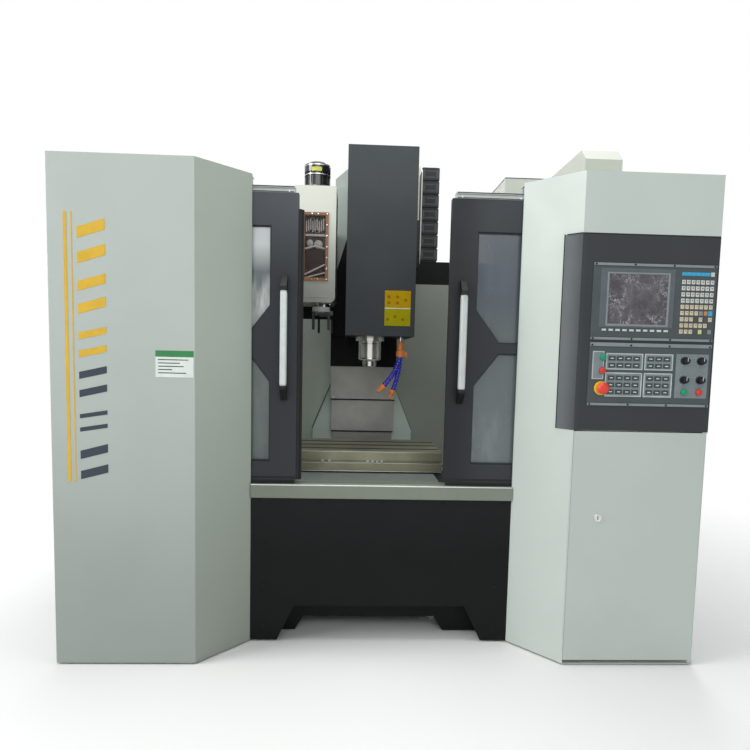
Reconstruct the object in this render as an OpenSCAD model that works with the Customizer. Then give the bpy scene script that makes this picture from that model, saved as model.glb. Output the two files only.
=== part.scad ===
// Vertical machining centre with a sheet-metal guard, two sliding doors, a side control console,
// a moving table on crossed box ways, a travelling head and a side-mounted tool changer.
// Millimetres. X runs to the right, Y from the front to the back, Z up.
// Depths are counted from the front plane of the side cabinets, and at_front() centres the whole.

/* [Enclosure] */
// Width over both side panels
enclosure_w = 2250; // [2200:10:2400]
// Height of the side cabinets
enclosure_h = 1725; // [1715:5:1800]
// Thickness of the guard sheet
sheet = 3; // [2:0.5:4]
// Distance of each cabinet's front fold from the middle
fold_x = 649; // [640:1:660]
// Half width of the door mouth
mouth_x = 490; // [486:1:500]
// Depth of the door mouth's edge behind the front plane
mouth_y = 172; // [165:1:176]
// Front face of the rear wall
wall_y = 1395; // [1380:1:1405]
// Height of the rear wall left of the column
wall_left_z = 1297; // [1200:1:1400]
// Height of the rear wall right of the column
wall_right_z = 1495; // [1400:1:1496]
// Gap between the guard and the floor
floor_gap = 6; // [3:1:15]
// Width of the roof strip over each side cabinet
roof_w = 365; // [300:5:380]

/* [Base] */
// Top of the front sill
sill_z = 607; // [600:1:612]
// Height of the sill's front face
sill_h = 51; // [40:1:60]
// Front face of the sill
sill_y = 165; // [160:1:170]
// Front face of the black apron below the sill
apron_y = 175; // [170:1:178]
// Depth of the toe recess in the apron
recess_d = 90; // [60:1:120]
// Half width of the toe recess at its top
recess_w = 324; // [300:1:340]
// Height of the toe recess
recess_h = 140; // [110:1:180]
// Width of the low opening at the back of the recess
toe_w = 516; // [400:1:540]
// Height of the low opening
toe_h = 62; // [40:1:80]
// Middle of the low opening
toe_x = -37; // [-60:1:20]

/* [Doors] */
// Width of a door leaf
door_w = 500; // [480:5:540]
// Thickness of a door leaf
door_t = 36; // [30:1:38]
// Front face of the door leaves
door_y = 185; // [184:1:188]
// Underside of a door leaf
leaf_z0 = 621; // [618:1:630]
// Distance from the top of the enclosure down to the top of a door leaf
leaf_drop = 58; // [52:1:75]
// Inner edge of the left leaf as photographed
left_edge = -325; // [-335:1:-315]
// Inner edge of the right leaf as photographed
right_edge = 232; // [225:1:240]
// Width of a door stile
stile = 97; // [80:1:110]
// Distance from the top of a leaf down to the upper window
window_drop = 117; // [70:1:160]
// Bottom of the lower window
window_z0 = 690; // [660:1:730]
// Half the height of the triangular brace on the stile
brace_h = 139; // [110:1:160]
// Distance of the brace's middle below the middle of the leaf
brace_drop = 18; // [0:1:40]
// Reach of the brace beyond the stile
brace_reach = 107; // [90:1:120]
// Height of the bar between the two windows
bar_h = 36; // [24:1:50]
// Lip on the left leaf that covers the closing joint
lip_w = 19; // [14:1:22]
// Distance of the handles from the leaf's inner edge
handle_inset = 46; // [42:1:60]
// Length of the grip
grip_l = 342; // [300:1:370]
// Width of the grip
grip_w = 22; // [20:1:30]
// Height of the top slide
slide_h = 23; // [18:1:26]

/* [Table and saddle] */
// Length of the table
table_l = 800; // [760:5:810]
// Width of the table
table_w = 400; // [380:5:420]
// Thickness of the table
table_t = 90; // [84:1:96]
// Height of the table's top face
table_z = 662; // [660:1:668]
// Middle of the table as photographed
table_x = -112; // [-120:1:-105]
// Number of T-slots
slot_n = 3; // [2:1:3]
// Distance between T-slots
slot_pitch = 110; // [90:1:130]
// Width of a T-slot
slot_w = 18; // [14:1:20]
// Half length of the saddle
saddle_l = 380; // [370:1:390]
// Front face of the saddle
saddle_y0 = 650; // [648:1:660]
// Back face of the saddle
saddle_y1 = 1010; // [980:1:1015]
// Top of the bed's box ways
way_z = 455; // [450:1:458]
// Distance of each box way from the bed's middle
way_x = 190; // [180:1:200]
// Width of a box way
way_w = 70; // [60:1:80]
// Radius of the feed screws
screw_r = 16; // [12:1:18]
// Running clearance
fit = 0.3; // [0.2:0.05:0.5]
// Radial clearance of a shaft in its bearing
bearing_fit = 0.05; // [0.02:0.01:0.1]

/* [Bed and column] */
// Middle of the bed and the column
axis_x = -60; // [-64:1:-56]
// Half width of the bed
bed_w = 270; // [262:1:276]
// Front face of the bed
bed_y0 = 330; // [325:1:340]
// Underside of the bed
bed_z0 = 45; // [40:1:55]
// Front face of the column
column_y = 1290; // [1285:1:1300]
// Back of the column and of the machine
machine_back = 1865; // [1865:5:1950]
// Half width of the column
column_w = 168; // [160:1:172]
// Half width of the column's foot
foot_w = 275; // [265:1:280]
// Height at which the foot starts to narrow
flare_z0 = 675; // [640:1:700]
// Height at which the foot has narrowed to the column
flare_z1 = 938; // [900:1:960]
// Top of the column
column_z = 2085; // [2060:1:2100]
// Radius of a levelling pad
pad_r = 55; // [40:1:60]

/* [Head] */
// Spindle axis, sideways
spindle_x = -40; // [-46:1:-34]
// Spindle axis, depth
spindle_y = 810; // [805:1:815]
// Spindle nose height as photographed
nose_z = 1037; // [1030:1:1042]
// Lower edge of the head cover
cover_z0 = 1176; // [1172:1:1178]
// Upper edge of the head cover
cover_z1 = 1990; // [1950:1:2010]
// Left face of the head cover
cover_x0 = -155; // [-158:1:-150]
// Right face of the head cover
cover_x1 = 150; // [145:1:160]
// Front face of the head cover
cover_y0 = 620; // [610:1:630]
// Back edge of the head cover
cover_y1 = 1120; // [1080:1:1150]
// Half width of the head slide
slide_w = 178; // [174:1:180]
// Top of the head slide
slide_z1 = 1700; // [1680:1:1705]
// Bottom of the head slide's guides
slide_z0 = 1190; // [1185:1:1200]
// Distance of each column way from the middle
column_way_x = 120; // [114:1:126]
// Width of a column way
column_way_w = 50; // [40:1:54]
// How far the column ways stand proud
column_way_t = 28; // [24:1:30]
// Radius of the spindle cartridge below its flange
cartridge_r = 52.5; // [48:0.5:56]
// Radius of the spindle nose
nose_r = 31; // [28:0.5:34]

/* [Telescopic covers] */
// Thickness of the cover plates
plate = 2; // [1.5:0.5:2.5]
// Half width of the upper column cover
upper_w = 176; // [172:1:178]
// Lower edge of the upper column cover
upper_z = 845; // [835:1:880]
// Half width of the middle column cover
middle_w = 170; // [166:1:171]
// Lower edge of the middle column cover
middle_z = 670; // [665:1:690]
// Half width of the lower column cover
lower_w = 164; // [160:1:165]
// Step in depth from one column cover to the next
cover_step = 10; // [9:1:11]
// Half width of the saddle's front cover
way_cover_w = 312; // [308:1:320]

/* [Tool changer] */
// Reach of the change arm from its shaft to a tool
arm_r = 220; // [212:1:225]
// Top face of the change arm
arm_z = 1292; // [1285:1:1298]
// Number of places in the magazine
pot_n = 16; // [12:1:16]
// Radius on which the pots sit
pot_pitch_r = 225; // [222:1:235]
// Radius of a tool pot
pot_r = 36; // [30:1:36]
// Length of a tool pot
pot_l = 100; // [90:1:104]
// Left face of the changer's cover
changer_x0 = -390; // [-395:1:-388]
// Right face of the changer's cover
changer_x1 = -205; // [-210:1:-200]
// Front face of the changer's cover
changer_y0 = 700; // [695:1:710]
// Top of the changer's cover
changer_z1 = 1834; // [1828:1:1840]
// Bottom of the changer's cover
changer_z0 = 1322; // [1318:1:1326]
// Radius of the changer's motor
changer_motor_r = 60; // [50:1:62]

/* [Cable chain] */
// Pitch of the chain links
link_pitch = 74; // [70:1:76]
// Number of links in the straight run
link_n = 12; // [12:1:12]
// Width of the chain
chain_w = 100; // [90:1:104]
// Depth of the chain
chain_d = 70; // [60:1:76]
// Middle of the chain, sideways
chain_x = 300; // [298:1:304]
// Top of the chain
chain_z1 = 2147; // [2140:1:2150]
// Top of the fixed duct that the chain runs into
duct_z1 = 1625; // [1615:1:1628]
// Height of the horizontal trunk
trunk_h = 127; // [110:1:128]

/* [Console] */
// Lower edge of the console
console_z0 = 849; // [840:1:860]
// Upper edge of the console
console_z1 = 1520; // [1500:1:1530]
// Depth of the console box
console_d = 150; // [120:1:155]
// How far the console wraps onto the slanting face
console_wing = 58; // [40:1:70]
// Width of the two control panels
panel_w = 428; // [424:1:430]
// Left edge of the control panels
panel_x = 689; // [686:1:690]
// Lower edge of the display panel
display_z0 = 1163; // [1160:1:1166]
// Upper edge of the display panel
display_z1 = 1423; // [1415:1:1430]
// Lower edge of the operator panel
operator_z0 = 937; // [930:1:940]
// Upper edge of the operator panel
operator_z1 = 1154; // [1150:1:1156]
// How far the panels stand proud of the console
panel_proud = 3; // [2:0.5:4]
// Radius of the emergency stop's mushroom
estop_r = 20; // [16:1:22]
// Reach of the emergency stop in front of its panel
estop_h = 32; // [26:1:40]
// Radius of the push buttons
button_r = 11; // [8:0.5:12]
// Radius of the rotary knobs
knob_r = 13; // [10:0.5:15]

/* [Electrical cabinet] */
// Left face of the electrical cabinet
cabinet_x0 = 720; // [700:1:740]
// Back face of the electrical cabinet's body
cabinet_back = 1840; // [1700:5:1840]
// Top of the electrical cabinet
cabinet_z1 = 2100; // [2000:5:2150]
// Left face of the duct on the roof
roof_duct_x0 = 850; // [830:1:870]
// Width of the duct on the roof
roof_duct_w = 160; // [140:1:170]
// Front face of the duct on the roof
roof_duct_y0 = 550; // [530:1:570]
// Height of the duct on the roof
roof_duct_h = 267; // [230:1:290]
// Bevel along the front of the duct
roof_duct_bevel = 50; // [20:1:60]

/* [Hidden] */
$fn = 48;

side_x = enclosure_w / 2;
leaf_z1 = enclosure_h - leaf_drop;
window_z1 = leaf_z1 - window_drop;
brace_mid = (leaf_z0 + leaf_z1) / 2 - brace_drop;
brace_z0 = brace_mid - brace_h;
brace_z1 = brace_mid + brace_h;
grip_z0 = brace_mid + 19 - grip_l / 2;
grip_z1 = grip_z0 + grip_l;
front_reach = panel_proud + estop_h;
front_y = -(machine_back - front_reach) / 2;
seam = 1;
wall_z0 = 400;

fold_a = atan2(mouth_y, fold_x - mouth_x);
lip_d = 8;
roof_y1 = wall_y;

table_front = spindle_y - table_w / 2;
table_bottom = table_z - table_t;
saddle_top = table_bottom - fit;
saddle_bottom = way_z + fit;
bed_top = way_z - 30;
y_screw_z = 405;
x_screw_z = 520;
journal_r = 12;
lug_t = 30;
lug_w = 60;
lug_z1 = bed_z0 + 30;
foot_x = bed_w + lug_w / 2;
foot_ys = [420, 1100, 1770];
anchor_ys = [475, 1715];
anchor_r = 14;
stud_r = 12;

cover_gap = 0.3;
way_cover_z0 = 520;
way_cover_z = 566;
cover_y_upper = column_y - 60;
cover_y_middle = cover_y_upper + cover_step;
cover_y_lower = cover_y_middle + cover_step;
cover_back = column_y - 4;
middle_top = 1045;
lower_top = 845;
lower_bottom = 470;

slide_back = column_y - 50;
z_screw_y = column_y - 24;
z_lug_z0 = 1130;
z_motor_z = 2020;
apron_bottom = nose_z - 10;
slide_taper_z = 1440;
slide_top_w = 100;
block_x0 = cover_x0 + sheet + fit;
block_x1 = cover_x1 - sheet - fit;
block_y0 = cover_y0 + sheet + fit;
block_z0 = cover_z0 + 4;
block_z1 = 1480;
cartridge_bore_r = 60;

arm_x = spindle_x - arm_r;
pot_x = spindle_x - 2 * arm_r;
pot_z = 1310;
magazine_z = pot_z + pot_pitch_r;
disc_x1 = changer_x0 - 10;
disc_t = 12;
disc_r = pot_pitch_r + 10;
axle_r = 20;
sleeve_r = 26;
spigot_r = 18;
changer_y1 = 960;
changer_motor_x = -298;
changer_motor_y = 830;

tank_y0 = 300;
tank_l = 1000;
tank_z0 = 8;
tank_h = 372;
chain_y0 = wall_y + 20;
duct_fit = 0.6;
duct_y0 = chain_y0 - duct_fit - sheet;
duct_y1 = chain_y0 + chain_d + duct_fit + sheet;
chain_z0 = chain_z1 - link_n * link_pitch;
duct_z0 = chain_z0 - 240;

pivot_r = 9;
pivot_pin_r = 4;
access_z0 = floor_gap + 14;
access_z1 = console_z0 - 3;
door_skin = 2 * pivot_r;
cabinet_y0 = wall_y + sheet;
cabinet_z0 = 40;
cabinet_door_y = cabinet_back + 2;
lock_x = 750;
lock_z = 540;

// Plain shapes

module at_front() {
    translate([0, front_y, 0]) children();
}

module block(x0, x1, y0, y1, z0, z1) {
    translate([x0, y0, z0]) cube([x1 - x0, y1 - y0, z1 - z0]);
}

module rod_x(r, x0, x1, y, z) {
    translate([x0, y, z]) rotate([0, 90, 0]) cylinder(r = r, h = x1 - x0);
}

module rod_y(r, y0, y1, x, z) {
    translate([x, y1, z]) rotate([90, 0, 0]) cylinder(r = r, h = y1 - y0);
}

module rod_z(r, z0, z1, x, y) {
    translate([x, y, z0]) cylinder(r = r, h = z1 - z0);
}

// A profile drawn in depth and height, drawn out sideways
module along_x(x0, x1) {
    translate([x0, 0, 0]) rotate([90, 0, 90]) linear_extrude(x1 - x0) children();
}

// A profile drawn in width and height, drawn out in depth
module along_y(y0, y1) {
    translate([0, y1, 0]) rotate([90, 0, 0]) linear_extrude(y1 - y0) children();
}

module rounded_square(x0, x1, y0, y1, r) {
    translate([x0 + r, y0]) square([x1 - x0 - 2 * r, y1 - y0]);
    translate([x0, y0 + r]) square([x1 - x0, y1 - y0 - 2 * r]);
    for (x = [x0 + r, x1 - r], y = [y0 + r, y1 - r]) translate([x, y]) circle(r);
}

// A servo motor standing on the plane z = 0
module servo(w, h) {
    c = w / 10;
    linear_extrude(12) rounded_square(-w / 2, w / 2, -w / 2, w / 2, c);
    translate([0, 0, 12]) linear_extrude(h - 52) rounded_square(-w * 0.44, w * 0.44, -w * 0.44, w * 0.44, c);
    translate([0, 0, h - 40]) cylinder(r = w * 0.38, h = 40);
    translate([w * 0.2, -w * 0.15, h - 75]) cube([w * 0.35, w * 0.3, 32]);
}

// A feed screw along z with its two journals
module feed_screw(length, journal) {
    translate([0, 0, journal]) cylinder(r = screw_r, h = length - 2 * journal);
    cylinder(r = journal_r, h = length);
}

// Bed and column

module bed_casting() color("dimgray") at_front() difference() {
    union() {
        block(axis_x - bed_w, axis_x + bed_w, bed_y0, machine_back, bed_z0, bed_top);
        for (s = [-1, 1])
            block(axis_x + s * way_x - way_w / 2, axis_x + s * way_x + way_w / 2, bed_y0, column_y - 2,
                bed_top - 1, way_z);
        block(axis_x - foot_w, axis_x + foot_w, column_y, machine_back, bed_top - 60, bed_top + 15);
        for (s = [-1, 1], y = foot_ys)
            block(axis_x + s * foot_x - lug_w / 2, axis_x + s * foot_x + lug_w / 2, y - 90, y + 90,
                bed_z0, lug_z1);
    }
    block(axis_x - 70, axis_x + 70, bed_y0 + 45, column_y - 35, 340, way_z + 1);
    rod_y(journal_r + bearing_fit, bed_y0 - 1, column_y - 10, axis_x, y_screw_z);
    for (y = [bed_y0 + 30, 835, 1340])
        block(axis_x - bed_w + 30, axis_x + bed_w - 30, y, y + 470, bed_z0 - 1, 310);
    for (s = [-1, 1], y = foot_ys) rod_z(stud_r + 0.5, bed_z0 - 1, lug_z1 + 1, axis_x + s * foot_x, y);
    for (s = [-1, 1], y = anchor_ys) rod_z(anchor_r, bed_z0 - 1, lug_z1 + 1, axis_x + s * foot_x, y);
}

module levelling_feet() color("gray") at_front() for (s = [-1, 1], y = foot_ys)
    translate([axis_x + s * foot_x, y, 0]) {
        cylinder(r = pad_r, h = 18);
        translate([0, 0, 18]) cylinder(r1 = pad_r, r2 = pad_r - 12, h = 8);
        cylinder(r = stud_r, h = lug_z1 + 40);
        translate([0, 0, 26]) cylinder(r = 20, h = bed_z0 - 26);
        translate([0, 0, lug_z1]) cylinder(r = 20, h = 16, $fn = 6);
    }

function column_front() = [[-foot_w, bed_top + 15], [foot_w, bed_top + 15], [foot_w, flare_z0],
    [column_w, flare_z1], [column_w, column_z - 56], [column_w - 65, column_z], [65 - column_w, column_z],
    [-column_w, column_z - 56], [-column_w, flare_z1], [-foot_w, flare_z0]];

module column_casting() color("darkseagreen") at_front() {
    difference() {
        intersection() {
            along_y(column_y, machine_back) translate([axis_x, 0]) polygon(column_front());
            along_x(axis_x - foot_w, axis_x + foot_w) polygon([[column_y, bed_top], [machine_back, bed_top],
                [machine_back, 900], [machine_back - 190, column_z - 120], [machine_back - 240, column_z + 1],
                [column_y, column_z + 1]]);
        }
        block(axis_x - column_w + 40, axis_x + column_w - 40, column_y + 60, machine_back - 280,
            bed_top, column_z - 60);
        for (z = [760, 1180, 1560])
            block(axis_x - 70, axis_x + 70, column_y + 40, machine_back + 1, z, z + 240);
        block(axis_x - 75, axis_x + 75, column_y - 1, column_y + 60, z_motor_z, column_z + 2);
    }
    for (s = [-1, 1])
        block(axis_x + s * column_way_x - column_way_w / 2, axis_x + s * column_way_x + column_way_w / 2,
            column_y - column_way_t, column_y + 1, 900, column_z - 100);
    difference() {
        for (z = [z_lug_z0, z_motor_z - lug_t])
            block(axis_x - 62, axis_x + 62, slide_back + 5, column_y + 1, z, z + lug_t);
        rod_z(journal_r + bearing_fit, z_lug_z0 - 1, z_motor_z + 1, axis_x, z_screw_y);
    }
    difference() {
        block(axis_x - 72, axis_x + 72, column_y - 96, column_y + 60, z_motor_z - 14, z_motor_z);
        rod_z(journal_r + bearing_fit, z_motor_z - 40, z_motor_z + 1, axis_x, z_screw_y);
    }
}

module axis_motors() color("black") at_front() {
    translate([axis_x, bed_y0, y_screw_z]) rotate([90, 0, 0]) servo(126, 92);
    translate([axis_x, z_screw_y, z_motor_z]) servo(130, 170);
}

module y_screw() color("silver") at_front()
    translate([axis_x, bed_y0 + cover_gap, y_screw_z]) rotate([-90, 0, 0])
        feed_screw(column_y - 12 - bed_y0, 46);

module x_screw() color("silver") at_front()
    translate([axis_x - saddle_l + cover_gap, spindle_y, x_screw_z]) rotate([0, 90, 0])
        feed_screw(2 * saddle_l - 2 * cover_gap, lug_t + 1);

module z_screw() color("silver") at_front()
    translate([axis_x, z_screw_y, z_lug_z0 + cover_gap])
        feed_screw(z_motor_z - z_lug_z0 - 2 * cover_gap, lug_t + 1);

// Saddle and table

module saddle() color("slategray") at_front() {
    mid_y = (saddle_y0 + saddle_y1) / 2;
    difference() {
        union() {
            block(axis_x - saddle_l, axis_x + saddle_l, saddle_y0, saddle_y1, saddle_bottom, saddle_top - 12);
            for (s = [-1, 1])
                block(axis_x - saddle_l, axis_x + saddle_l, spindle_y + s * 105 - 50, spindle_y + s * 105 + 50,
                    saddle_top - 13, saddle_top);
            for (s = [-1, 1])
                block(axis_x + s * (way_x + way_w / 2 + fit + 15) - 15, axis_x + s * (way_x + way_w / 2 + fit + 15) + 15,
                    saddle_y0, saddle_y1, bed_top + 2, saddle_bottom + 1);
            block(axis_x - 45, axis_x + 45, mid_y - 50, mid_y + 50, y_screw_z - 45, saddle_bottom + 1);
        }
        block(axis_x - saddle_l + lug_t, axis_x + saddle_l - lug_t, spindle_y - 40, spindle_y + 40,
            x_screw_z - 35, table_bottom);
        rod_x(journal_r + bearing_fit, axis_x - saddle_l - 1, axis_x + saddle_l + 1, spindle_y, x_screw_z);
        rod_y(screw_r + bearing_fit, mid_y - 51, mid_y + 51, axis_x, y_screw_z);
        for (s = [-1, 1])
            block(axis_x + s * 250 - 60, axis_x + s * 250 + 60, spindle_y - 38, spindle_y + 38,
                saddle_bottom + 12, x_screw_z - 34);
    }
    way_cover(saddle_y0 - 220, saddle_y0 - 10, way_cover_w, way_cover_z);
    for (s = [-1, 1])
        block(axis_x + s * (way_cover_w - plate / 2) - plate / 2, axis_x + s * (way_cover_w - plate / 2) + plate / 2,
            saddle_y0 - 11, saddle_y0 + 1, way_cover_z0, way_cover_z - 14);
}

module way_cover(y0, y1, w, top) {
    along_y(y0, y1) translate([axis_x, 0]) polygon([[-w, way_cover_z0], [-w, top], [w, top],
        [w, way_cover_z0], [w - plate, way_cover_z0], [w - plate, top - plate], [plate - w, top - plate],
        [plate - w, way_cover_z0]]);
}

module way_cover_middle() color("gray") at_front() {
    way_cover(sill_y + 167, saddle_y0 - 105, way_cover_w - plate - cover_gap,
        way_cover_z - plate - cover_gap);
}

module t_slot(y) {
    translate([y - slot_w / 2, table_z - 22]) square([slot_w, 23]);
    translate([y - slot_w * 0.83, table_z - 34]) square([slot_w * 1.66, 13]);
}

module table() color("lightgray") at_front() {
    difference() {
        along_x(table_x - table_l / 2, table_x + table_l / 2) difference() {
            union() {
                translate([table_front, table_bottom]) square([table_w, table_t]);
                for (s = [-1, 1])
                    translate([spindle_y + s * (155 + fit + 12) - 12, way_cover_z + 0.7]) square([24, 8]);
            }
            for (i = [0 : slot_n - 1]) t_slot(spindle_y + (i - (slot_n - 1) / 2) * slot_pitch);
            translate([table_front - 1, table_bottom + 40]) square([9, 11]);
            translate([table_front + 7, table_bottom + 36]) square([5, 19]);
            for (y = [table_front + 10, spindle_y + table_w / 2 - 22])
                translate([y, table_z - 8]) square([12, 9]);
        }
    }
    difference() {
        block(table_x - 40, table_x + 40, spindle_y - 32, spindle_y + 32, x_screw_z - 28, table_bottom + 1);
        rod_x(screw_r + bearing_fit, table_x - 41, table_x + 41, spindle_y, x_screw_z);
    }
}

module trip_dogs() color("silver") at_front()
    for (x = [-245, -215, -45, -22, -2, 18])
        translate([table_x + 112 + x, table_front, table_bottom + 45.5]) {
            block(-6, 6, -9, 7.5, -5.2, 5.2);
            block(-6, 6, 7.3, 11.7, -9, 9);
        }

module x_motor() color("black") at_front()
    translate([axis_x + saddle_l, spindle_y, x_screw_z - 8]) rotate([0, 90, 0]) servo(98, 150);

// Head

module head_casting() color("#26282a") at_front() {
    difference() {
        union() {
            along_y(slide_back - 60, slide_back) translate([axis_x, 0]) polygon([[-slide_w, slide_z0],
                [slide_w, slide_z0], [slide_w, slide_taper_z], [slide_top_w, slide_z1],
                [-slide_top_w, slide_z1], [-slide_w, slide_taper_z]]);
            block(axis_x - slide_w, axis_x + slide_w, cover_y_upper - 15, cover_y_upper - 5,
                apron_bottom, slide_z0 + 1);
            along_x(block_x0, block_x1) polygon([[block_y0, block_z0], [slide_back - 59, block_z0],
                [slide_back - 59, slide_z1 - 60], [cover_y1 - 40, slide_z1 - 60], [spindle_y + 150, block_z1],
                [block_y0, block_z1]]);
            for (s = [-1, 1], e = [-1, 1])
                block(axis_x + s * column_way_x + e * (column_way_w / 2 + fit + 9) - 9,
                    axis_x + s * column_way_x + e * (column_way_w / 2 + fit + 9) + 9,
                    slide_back - 1, column_y - 3, slide_z0, slide_taper_z + 40);
            for (s = [-1, 1])
                block(axis_x + s * column_way_x - column_way_w / 2 - fit - 1,
                    axis_x + s * column_way_x + column_way_w / 2 + fit + 1,
                    slide_back - 1, column_y - column_way_t - fit, slide_z0, slide_taper_z + 40);
            block(axis_x - 34, axis_x + 34, slide_back - 1, z_screw_y + 20, 1400, 1480);
        }
        rod_z(cartridge_bore_r + bearing_fit, block_z0 - 1, block_z1 + 1, spindle_x, spindle_y);
        rod_z(screw_r + bearing_fit, 1399, 1481, axis_x, z_screw_y);
        block(block_x0 + 40, block_x1 - 40, spindle_y + 110, slide_back - 90, block_z0 + 40, block_z1 - 30);
    }
}

module head_cover() color("#4a4f52") at_front() difference() {
    along_y(cover_y0, cover_y1) polygon([[cover_x0, cover_z0], [cover_x1, cover_z0],
        [cover_x1, cover_z1 - 2], [cover_x1 - 2, cover_z1], [cover_x0 + 2, cover_z1], [cover_x0, cover_z1 - 2]]);
    block(cover_x0 + sheet, cover_x1 - sheet, cover_y0 + sheet, cover_y1 + 1, cover_z0 - 1, cover_z1 - sheet);
}

module spindle_cartridge() color("silver") at_front() translate([spindle_x, spindle_y, 0]) difference() {
    rotate_extrude() polygon([[0, nose_z + 30], [cartridge_r - 6, nose_z + 30], [cartridge_r, nose_z + 36],
        [cartridge_r, cover_z0 - 22], [cartridge_r + 14, cover_z0 - 20], [cartridge_r + 14, block_z0],
        [cartridge_bore_r, block_z0], [cartridge_bore_r, block_z1 + 10], [0, block_z1 + 10]]);
    translate([0, 0, nose_z]) cylinder(r = nose_r - 1 + bearing_fit, h = block_z1 - nose_z + 20);
    for (a = [30 : 60 : 330])
        rotate(a) translate([cartridge_r + 7, 0, cover_z0 - 23]) cylinder(r = 4, h = 8, $fn = 24);
}

module spindle() color("whitesmoke") at_front() translate([spindle_x, spindle_y, 0]) difference() {
    union() {
        rotate_extrude() polygon([[0, nose_z], [nose_r - 1, nose_z], [nose_r + 2, nose_z + 3],
            [nose_r + 2, nose_z + 24], [nose_r - 1, nose_z + 29.7], [nose_r - 1, block_z1 + 40],
            [0, block_z1 + 40]]);
        translate([0, 0, block_z1 + 12]) cylinder(r = 46, h = 42);
    }
    translate([0, 0, nose_z - 1]) cylinder(r1 = 22.5, r2 = 12.6, h = 70);
    translate([0, 0, nose_z]) cylinder(r = 10, h = block_z1 - nose_z - 100);
    for (s = [0, 180]) rotate(s) translate([nose_r - 7, -8, nose_z - 1]) cube([30, 16, 12]);
}

module spindle_motor() color("#303438") at_front() translate([spindle_x, spindle_y, 0]) {
    difference() {
        translate([0, 0, block_z1]) linear_extrude(111) rounded_square(-80, 80, -80, 80, 14);
        translate([0, 0, block_z1 - 1]) cylinder(r = 66, h = 111);
        for (s = [0, 90]) rotate(s) translate([-90, -42, block_z1 + 20]) cube([180, 84, 60]);
    }
    translate([0, 0, block_z1 + 110]) linear_extrude(250) rounded_square(-84, 84, -84, 84, 22);
    translate([0, 0, block_z1 + 360]) cylinder(r = 74, h = 70);
}

function curve(a, b, c, t) = (1 - t) * (1 - t) * a + 2 * t * (1 - t) * b + t * t * c;

module segmented_hose(a, b, c, n, r) {
    for (i = [0 : n - 1]) translate(curve(a, b, c, i / (n - 1))) sphere(r, $fn = 24);
    d = c - b;
    l = norm(d);
    translate(c) rotate([0, acos(d.z / l), atan2(d.y, d.x)]) cylinder(r1 = r, r2 = r * 0.45, h = 30, $fn = 24);
}

module coolant_hoses() color("navy") at_front() {
    rod_z(9, 1150, block_z0, 97, 706);
    rod_z(15, 1086, 1151, 97, 706);
    segmented_hose([97, 706, 1084], [93, 700, 1000], [16, 696, 952], 13, 9);
    segmented_hose([97, 714, 1084], [100, 716, 1010], [65, 716, 936], 12, 9);
}

// Telescopic covers of the column

module column_cover(w, y, z0, z1) {
    translate([axis_x, 0, z0]) linear_extrude(z1 - z0) polygon([[-w, cover_back], [-w, y], [w, y],
        [w, cover_back], [w - plate, cover_back], [w - plate, y + plate], [plate - w, y + plate],
        [plate - w, cover_back]]);
}

module cover_wiper(w, y, z) {
    block(axis_x - w, axis_x + w, y - cover_step + plate + cover_gap, y + 1, z - 8, z);
}

module column_cover_upper() color("gray") at_front() {
    column_cover(upper_w, cover_y_upper, upper_z, slide_z0 - 1);
    block(axis_x - upper_w, axis_x + upper_w, cover_y_upper, slide_back + 2, slide_z0 - 3, slide_z0);
}

module column_cover_middle() color("gray") at_front() {
    column_cover(middle_w, cover_y_middle, middle_z, middle_top);
    cover_wiper(middle_w - 2, cover_y_middle, middle_top);
}

module column_cover_lower() color("gray") at_front() {
    column_cover(lower_w, cover_y_lower, lower_bottom, lower_top);
    cover_wiper(lower_w - 4, cover_y_lower, lower_top);
    for (s = [-1, 1])
        block(axis_x + s * (lower_w - 12) - 12, axis_x + s * (lower_w - 12) + 12, cover_back - 1, column_y,
            lower_bottom, lower_bottom + 60);
}

// Cable chain and its duct

module cable_chain() color("#2c2e30") at_front() {
    difference() {
        for (i = [0 : link_n - 1]) {
            z = chain_z0 + i * link_pitch;
            block(chain_x - chain_w / 2, chain_x + chain_w / 2, chain_y0, chain_y0 + chain_d,
                z + 4, z + link_pitch - 4);
            block(chain_x - chain_w / 2 + 6, chain_x + chain_w / 2 - 6, chain_y0 + 5, chain_y0 + chain_d - 5,
                z - (i == 0 ? 0 : 5), z + link_pitch);
        }
        block(chain_x - chain_w / 2 + 14, chain_x + chain_w / 2 - 14, chain_y0 + 14, chain_y0 + chain_d - 14,
            chain_z0 - 6, chain_z1 + 1);
    }
    x0 = chain_x - chain_w / 2 - 14;
    along_x(x0, x0 + 6) polygon([[wall_y - 95, 1650], [wall_y - 75, 1600], [wall_y - 15, 1600],
        [wall_y - 15, 1850], [chain_y0 + chain_d, 1850], [chain_y0 + chain_d, chain_z1 - 40],
        [chain_y0 + chain_d - 40, chain_z1], [wall_y - 15, chain_z1], [wall_y - 95, chain_z1 - 60]]);
    for (z = [1870, 2060]) block(x0 + 5, x0 + 15, chain_y0 + 5, chain_y0 + chain_d - 5, z, z + 50);
    translate([0, 0, 1660]) linear_extrude(170) polygon([[block_x1 - 1, cover_y1 + 20], [200, cover_y1 + 20],
        [200, wall_y - 95], [x0 + 3, wall_y - 95], [x0 + 3, wall_y - 89], [194, wall_y - 89],
        [194, cover_y1 + 26], [block_x1 - 1, cover_y1 + 26]]);
}

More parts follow.
